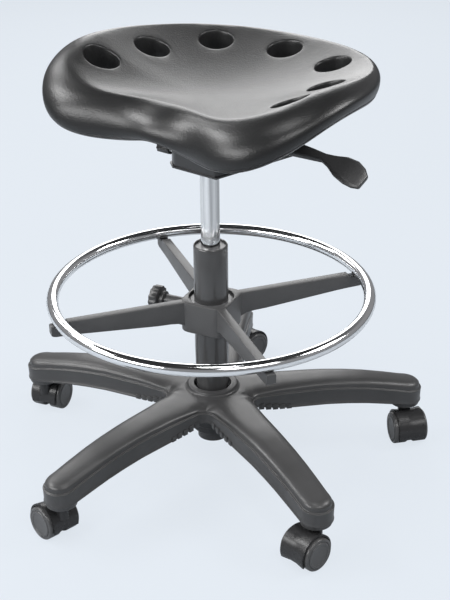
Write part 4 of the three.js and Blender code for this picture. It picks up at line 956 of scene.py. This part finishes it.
border = walk([e for e in star.edges if e.is_boundary and math.hypot(*e.verts[0].co.xy) > INNER_BORDER])
outline = [v.co.copy() for v in border]
outward = []
for before, after in zip(outline[-1:] + outline[:-1], outline[1:] + outline[:1]):
    run = (after - before).xy.normalized()
    outward.append(Vector((run.y, -run.x, 0)))
swept_area = sum(a.x * b.y - b.x * a.y for a, b in zip(outline, outline[1:] + outline[:1]))
if swept_area < 0:
    outward = [-n for n in outward]
row = border
for out, down, above, recess in wall_rows:
    points = []
    for place, normal in zip(outline, outward):
        x = leg_share(place)
        depth = eased(min((x - RECESS_FROM) / RECESS_START, (RECESS_TO - x) / RECESS_END))
        height = place.z - down if down else along(wall_foot_rows, x) + above
        points.append(place + normal * (out - recess * depth) + Vector((0, 0, height - place.z)))
    row = next_ring(star, row, points)
base = finished(star, "moulded_base", "stand", base_nylon, ["base_star"], crease=60)
wall = base.modifiers.new("wall", "SOLIDIFY")
wall.thickness, wall.offset = WALL_THICKNESS, -1

# %% [markdown]
# Under the roofs sit the parts that carry load: the core round the column's taper, a floor ring,
# cross ribs that stiffen each leg and show as small teeth along its lower edge, and the sockets
# that the caster stems push into. The collar on top has a soft foot that runs into the roofs.

# %% Hub, ribs and sockets
core_profile = [(28, 52.6), (28.6, 52), (30.6, 52), (31.5, 53), (31.5, 62), (32.2, 63), (32.2, 118),
                (28, 118)]
floor_profile = [(31, 98), (57, 98), (59, 99), (60, 101.5), (60, 103), (31, 103)]
collar_profile = [(28, 112), (28, 127), (28.8, 128), (36.3, 128), (37.3, 127.6), (37.9, 126.6), (38.2, 125.2),
                  (38.9, 124.0), (40.2, 123.1), (42.4, 122.5), (46, 121.9), (46, 112)]
socket_profile = [(5.8, 58.5), (21.2, 58.5), (22.4, 59.2), (22.9, 60.6), (22.9, 66), (22.2, 66.8),
                  (21.8, 68), (21.8, 94), (5.8, 94)]
RIB_TOP = 6.5
# Each rib: its distance, its thickness, its foot above the wall's foot, and how far it stands out.
rib_places = [(70, 8.2, -3.4, 3.8), (81, 8.2, -3, 3.8), (92, 8.2, -2.4, 3.8), (103, 8.2, -1.6, 3.7),
              (114, 8.2, -0.8, 3.6), (169, 3, 3, 0), (231, 3, 3, 0)]
hub_parts = [turned(core_profile, 64), turned(floor_profile, 64), turned(collar_profile, 72)]
for k in range(LEGS):
    leg_place = turn(LEG_TURN + BETWEEN_LEGS * k)
    for x, thick, above, out in rib_places:
        half, step, wall_foot = half_width(x) + out, thick / 2, along(wall_foot_rows, x)
        corners = [(x - step, -half), (x + step, -half), (x + step, half), (x - step, half)]
        rib = slab(corners, wall_foot + above, wall_foot + RIB_TOP)
        hub_parts.append(moved(soften(rib, width=0.5, angle=40), leg_place))
    socket = turned(socket_profile, 48)
    hub_parts.append(moved(socket, leg_place @ Matrix.Translation((LEG_REACH, 0, 0))))
finished(merge(*hub_parts), "base_hub_and_ribs", "stand", base_nylon, ["base_star"], crease=30)

# %% [markdown]
# Each caster is a hood over twin wheels. The hood is a barrel shell with a rolled rim and a web
# between the wheels: one section, swept part of a turn about the axle. The wheels are turned
# with a tread, a groove and a stepped cap. Each of the five legs gets the same three pieces.

# %% The hood and the wheel
WHEEL_RADIUS, TRAIL = 25.0, 20.0
HOOD_FROM, HOOD_TO, HOOD_STEPS = -24.7, 196.2, 48
axle_place = Matrix.Translation((TRAIL, 0, WHEEL_RADIUS))
hood_section = [(26.8, -21.3), (27.1, -21.6), (28.7, -21.6), (29.1, -21.2), (29.1, -19.6), (28.7, -19.2),
                (28.7, 19.2), (29.1, 19.6), (29.1, 21.2), (28.7, 21.6), (27.1, 21.6), (26.8, 21.3),
                (26.8, 4.8), (9, 4.8), (9, -4.8), (26.8, -4.8)]
hood_hub_profile = [(3.4, -4.8), (10.4, -4.8), (11, -4.2), (11, 4.2), (10.4, 4.8), (3.4, 4.8)]
post_profile = [(3.8, 34), (9.6, 34), (9.6, 47), (9.9, 51.5), (9.9, 54.4), (9.2, 55.4), (3.8, 55.4)]
wheel_section = [(0, 24), (3.4, 24), (3.4, 5.2), (22.8, 5.2), (23.6, 5.5), (24.6, 6.3), (25, 7.4),
                 (25, 23.6), (24.8, 24.6), (24.1, 25.6), (23, 26.2), (21, 26.3), (20.6, 26.0),
                 (20.3, 25.6), (19.9, 25.6), (19.7, 26.3), (19.2, 26.8), (18.4, 27), (16.2, 27),
                 (15.7, 26.8), (15.4, 26.4), (14.8, 26.3), (3.0, 26.5), (0, 26.5)]


def hood():
    """The swept shell with its web, the hub on the axle and the post round the stem."""
    bm = bmesh.new()
    outline = [bm.verts.new((radius, side, 0)) for radius, side in hood_section]
    face = bmesh.ops.contextual_create(bm, geom=outline)["faces"]
    start = Matrix.Rotation(math.radians(-HOOD_FROM), 3, "Y")
    bmesh.ops.rotate(bm, verts=outline, cent=(0, 0, 0), matrix=start)
    bmesh.ops.spin(bm, geom=face, cent=(0, 0, 0), axis=(0, 1, 0), dvec=(0, 0, 0),
                   angle=-math.radians(HOOD_TO - HOOD_FROM), steps=HOOD_STEPS, use_duplicate=False)
    bmesh.ops.recalc_face_normals(bm, faces=bm.faces)
    hub = moved(turned(hood_hub_profile, 32), turn(-90, "X"))
    shell = moved(merge(bm, hub), axle_place)
    return merge(shell, turned(post_profile, 40))


# %% The casters
trail_turns = [-40.7, 78, 103.7, 170.3, -99.4]
for k, trail in enumerate(trail_turns):
    stem_place = turn(LEG_TURN + BETWEEN_LEGS * k) @ Vector((LEG_REACH, 0, 0))
    place = Matrix.Translation(stem_place) @ turn(trail)
    caster = f"caster_{k + 1}"
    finished(hood(), f"hood_{k + 1}", caster, hood_plastic, [f"{caster}_hood"], place)
    for side, name in ((1, "left"), (-1, "right")):
        wheel_place = place @ axle_place @ turn(-90 * side, "X")
        finished(turned(wheel_section, 56), f"wheel_{k + 1}_{name}_tyre", f"wheel_{k + 1}_{name}",
                 wheel_plastic, [f"{caster}_wheel_{name}"], wheel_place)

# %% [markdown]
# The small hardware keeps its CAD shape: pins, screws, bushes and pressed plates are right as
# they are. They only need their finish in place of the plain colour of the frame.

# %% Finishes for the kept pieces
kept_finishes = {"steel": zinc_steel, "black_steel": black_paint, "rubber": black_rubber,
                 "chrome": cylinder_steel, "nylon": bush_nylon, "black_plastic": handle_plastic}
slot_of = {part["node"]: part["material_slot"] for part in frame["record"]["subparts"]}
for name, slot in slot_of.items():
    if slot in kept_finishes:
        for material_slot in frame["nodes"][name].material_slots:
            material_slot.material = kept_finishes[slot]
print("kept slots", sorted(set(slot_of.values())))

# %% [markdown]
# A product photograph of dark plastic needs something light to reflect and something dark beside
# it. The floor and backdrop are pale to the camera alone. The stool itself sees a grey floor and
# a grey room with a dark ceiling, which lays dark bands along the chrome and in the seat's
# valley. The floor shows the stool's shadow through the part of it that is lit.

# %% The floor and the room
PALE = (0.784, 0.839, 0.904)
FLOOR_REACH, FLOOR_SIDES = 12, 64
FLOOR_GREY, FLOOR_ROUGHNESS = 0.57, 0.9
FLOOR_EVEN, FLOOR_GLOW = 0.86, 1.03
ROOM_LIGHT, CEILING_LIGHT, ROOM_BLUE = 0.26, 0.03, 1.03
WALL_TOP, CEILING_FROM = 0.45, 0.8
MIX_FROM, MIX_TO, MIX_RESULT = 6, 7, 2


def seen_by_camera(tree):
    """1 for camera rays, 0 for the rays that light the stool."""
    return grow(tree, "ShaderNodeLightPath", output="Is Camera Ray")


def floor_finish():
    """A lit floor, mixed for the camera with an even glow."""
    finish = bpy.data.materials.new("studio_floor")
    finish.use_nodes = True
    tree = finish.node_tree
    surface = tree.nodes["Principled BSDF"]
    surface.inputs["Base Color"].default_value = (*(c * FLOOR_GREY for c in PALE), 1)
    surface.inputs["Roughness"].default_value = FLOOR_ROUGHNESS
    surface.inputs["Specular IOR Level"].default_value = 0.0
    lit = Signal(tree, surface.outputs["BSDF"])
    even = grow(tree, "ShaderNodeEmission", {}, {"Color": (*PALE, 1), "Strength": FLOOR_GLOW})
    share = seen_by_camera(tree) * FLOOR_EVEN
    mixed = grow(tree, "ShaderNodeMixShader", {}, {0: share, 1: lit, 2: even})
    tree.links.new(mixed.socket, tree.nodes["Material Output"].inputs["Surface"])
    return finish


floor_mesh = bmesh.new()
bmesh.ops.create_circle(floor_mesh, cap_ends=True, segments=FLOOR_SIDES, radius=FLOOR_REACH)
floor_data = bpy.data.meshes.new("studio_floor")
floor_mesh.to_mesh(floor_data)
floor_mesh.free()
studio_floor = bpy.data.objects.new("studio_floor", floor_data)
floor_data.materials.append(floor_finish())
bpy.context.scene.collection.objects.link(studio_floor)

world = bpy.data.worlds.new("studio")
bpy.context.scene.world = world
world.use_nodes = True
room = world.node_tree
direction = grow(room, "ShaderNodeTexCoord", output="Generated")
upwards = grow(room, "ShaderNodeSeparateXYZ", {}, {"Vector": direction}, output="Z")
wall_tone, ceiling_tone = ((light, light, light * ROOM_BLUE) for light in (ROOM_LIGHT, CEILING_LIGHT))
room_stops = [(WALL_TOP, wall_tone), (CEILING_FROM, ceiling_tone)]
walls_to_ceiling = grow(room, "ShaderNodeValToRGB", {"stops": room_stops}, {"Fac": upwards})
room_sides = {"Factor": seen_by_camera(room), MIX_FROM: walls_to_ceiling, MIX_TO: (*PALE, 1)}
tone = grow(room, "ShaderNodeMix", {"data_type": "RGBA"}, room_sides, output=MIX_RESULT)
room.links.new(tone.socket, room.nodes["Background"].inputs["Color"])
print("room light", ROOM_LIGHT, "ceiling light", CEILING_LIGHT)

# %% [markdown]
# Soft lamps do the rest. A wide one behind the stool glances off the dish and makes it the
# lightest part, as in the picture. Five more stand in an arc from side to side, because a nose
# that rolls over all round needs an arc of light to show a long bright band. The last hangs
# overhead, for the surfaces that face up.

# %% The lamps
LAMP_AIM = Vector((0, 0, 0.5))
# Each lamp: its name, azimuth, height angle, distance, width and height, and how bright it shines.
lamps = [("back_softbox", 180, 17.5, 2.6, (1.3, 1.5), 3.2),
         ("left_back_softbox", -141, 33, 2.4, (0.6, 0.8), 6.5),
         ("left_softbox", -101, 37, 2.4, (1.2, 0.65), 14.0),
         ("left_low_softbox", -57, 20, 2.4, (2.1, 0.7), 10.0),
         ("top_softbox", 14, 77, 2.2, (0.6, 0.45), 12.0),
         ("right_front_softbox", 28, 38, 2.4, (1.4, 0.8), 6.0),
         ("right_softbox", 92, 36, 2.4, (1.0, 0.8), 12.0)]


def lamp(name, azimuth, height_angle, distance, size, shine):
    """A soft area lamp. The azimuth is counted from the camera's side, to the right, in degrees."""
    bearing = CAMERA_TURN - math.pi / 2 + math.radians(azimuth)
    rise = math.radians(height_angle)
    data = bpy.data.lights.new(name, "AREA")
    data.shape, data.size, data.size_y = "RECTANGLE", size[0], size[1]
    data.energy = shine * math.pi * size[0] * size[1]
    light = bpy.data.objects.new(name, data)
    aside = (math.cos(bearing) * math.cos(rise), math.sin(bearing) * math.cos(rise), math.sin(rise))
    light.location = LAMP_AIM + distance * Vector(aside)
    light.rotation_euler = (LAMP_AIM - light.location).to_track_quat("-Z", "Y").to_euler()
    bpy.context.scene.collection.objects.link(light)
    print(name, "power", round(data.energy, 1))


for settings in lamps:
    lamp(*settings)
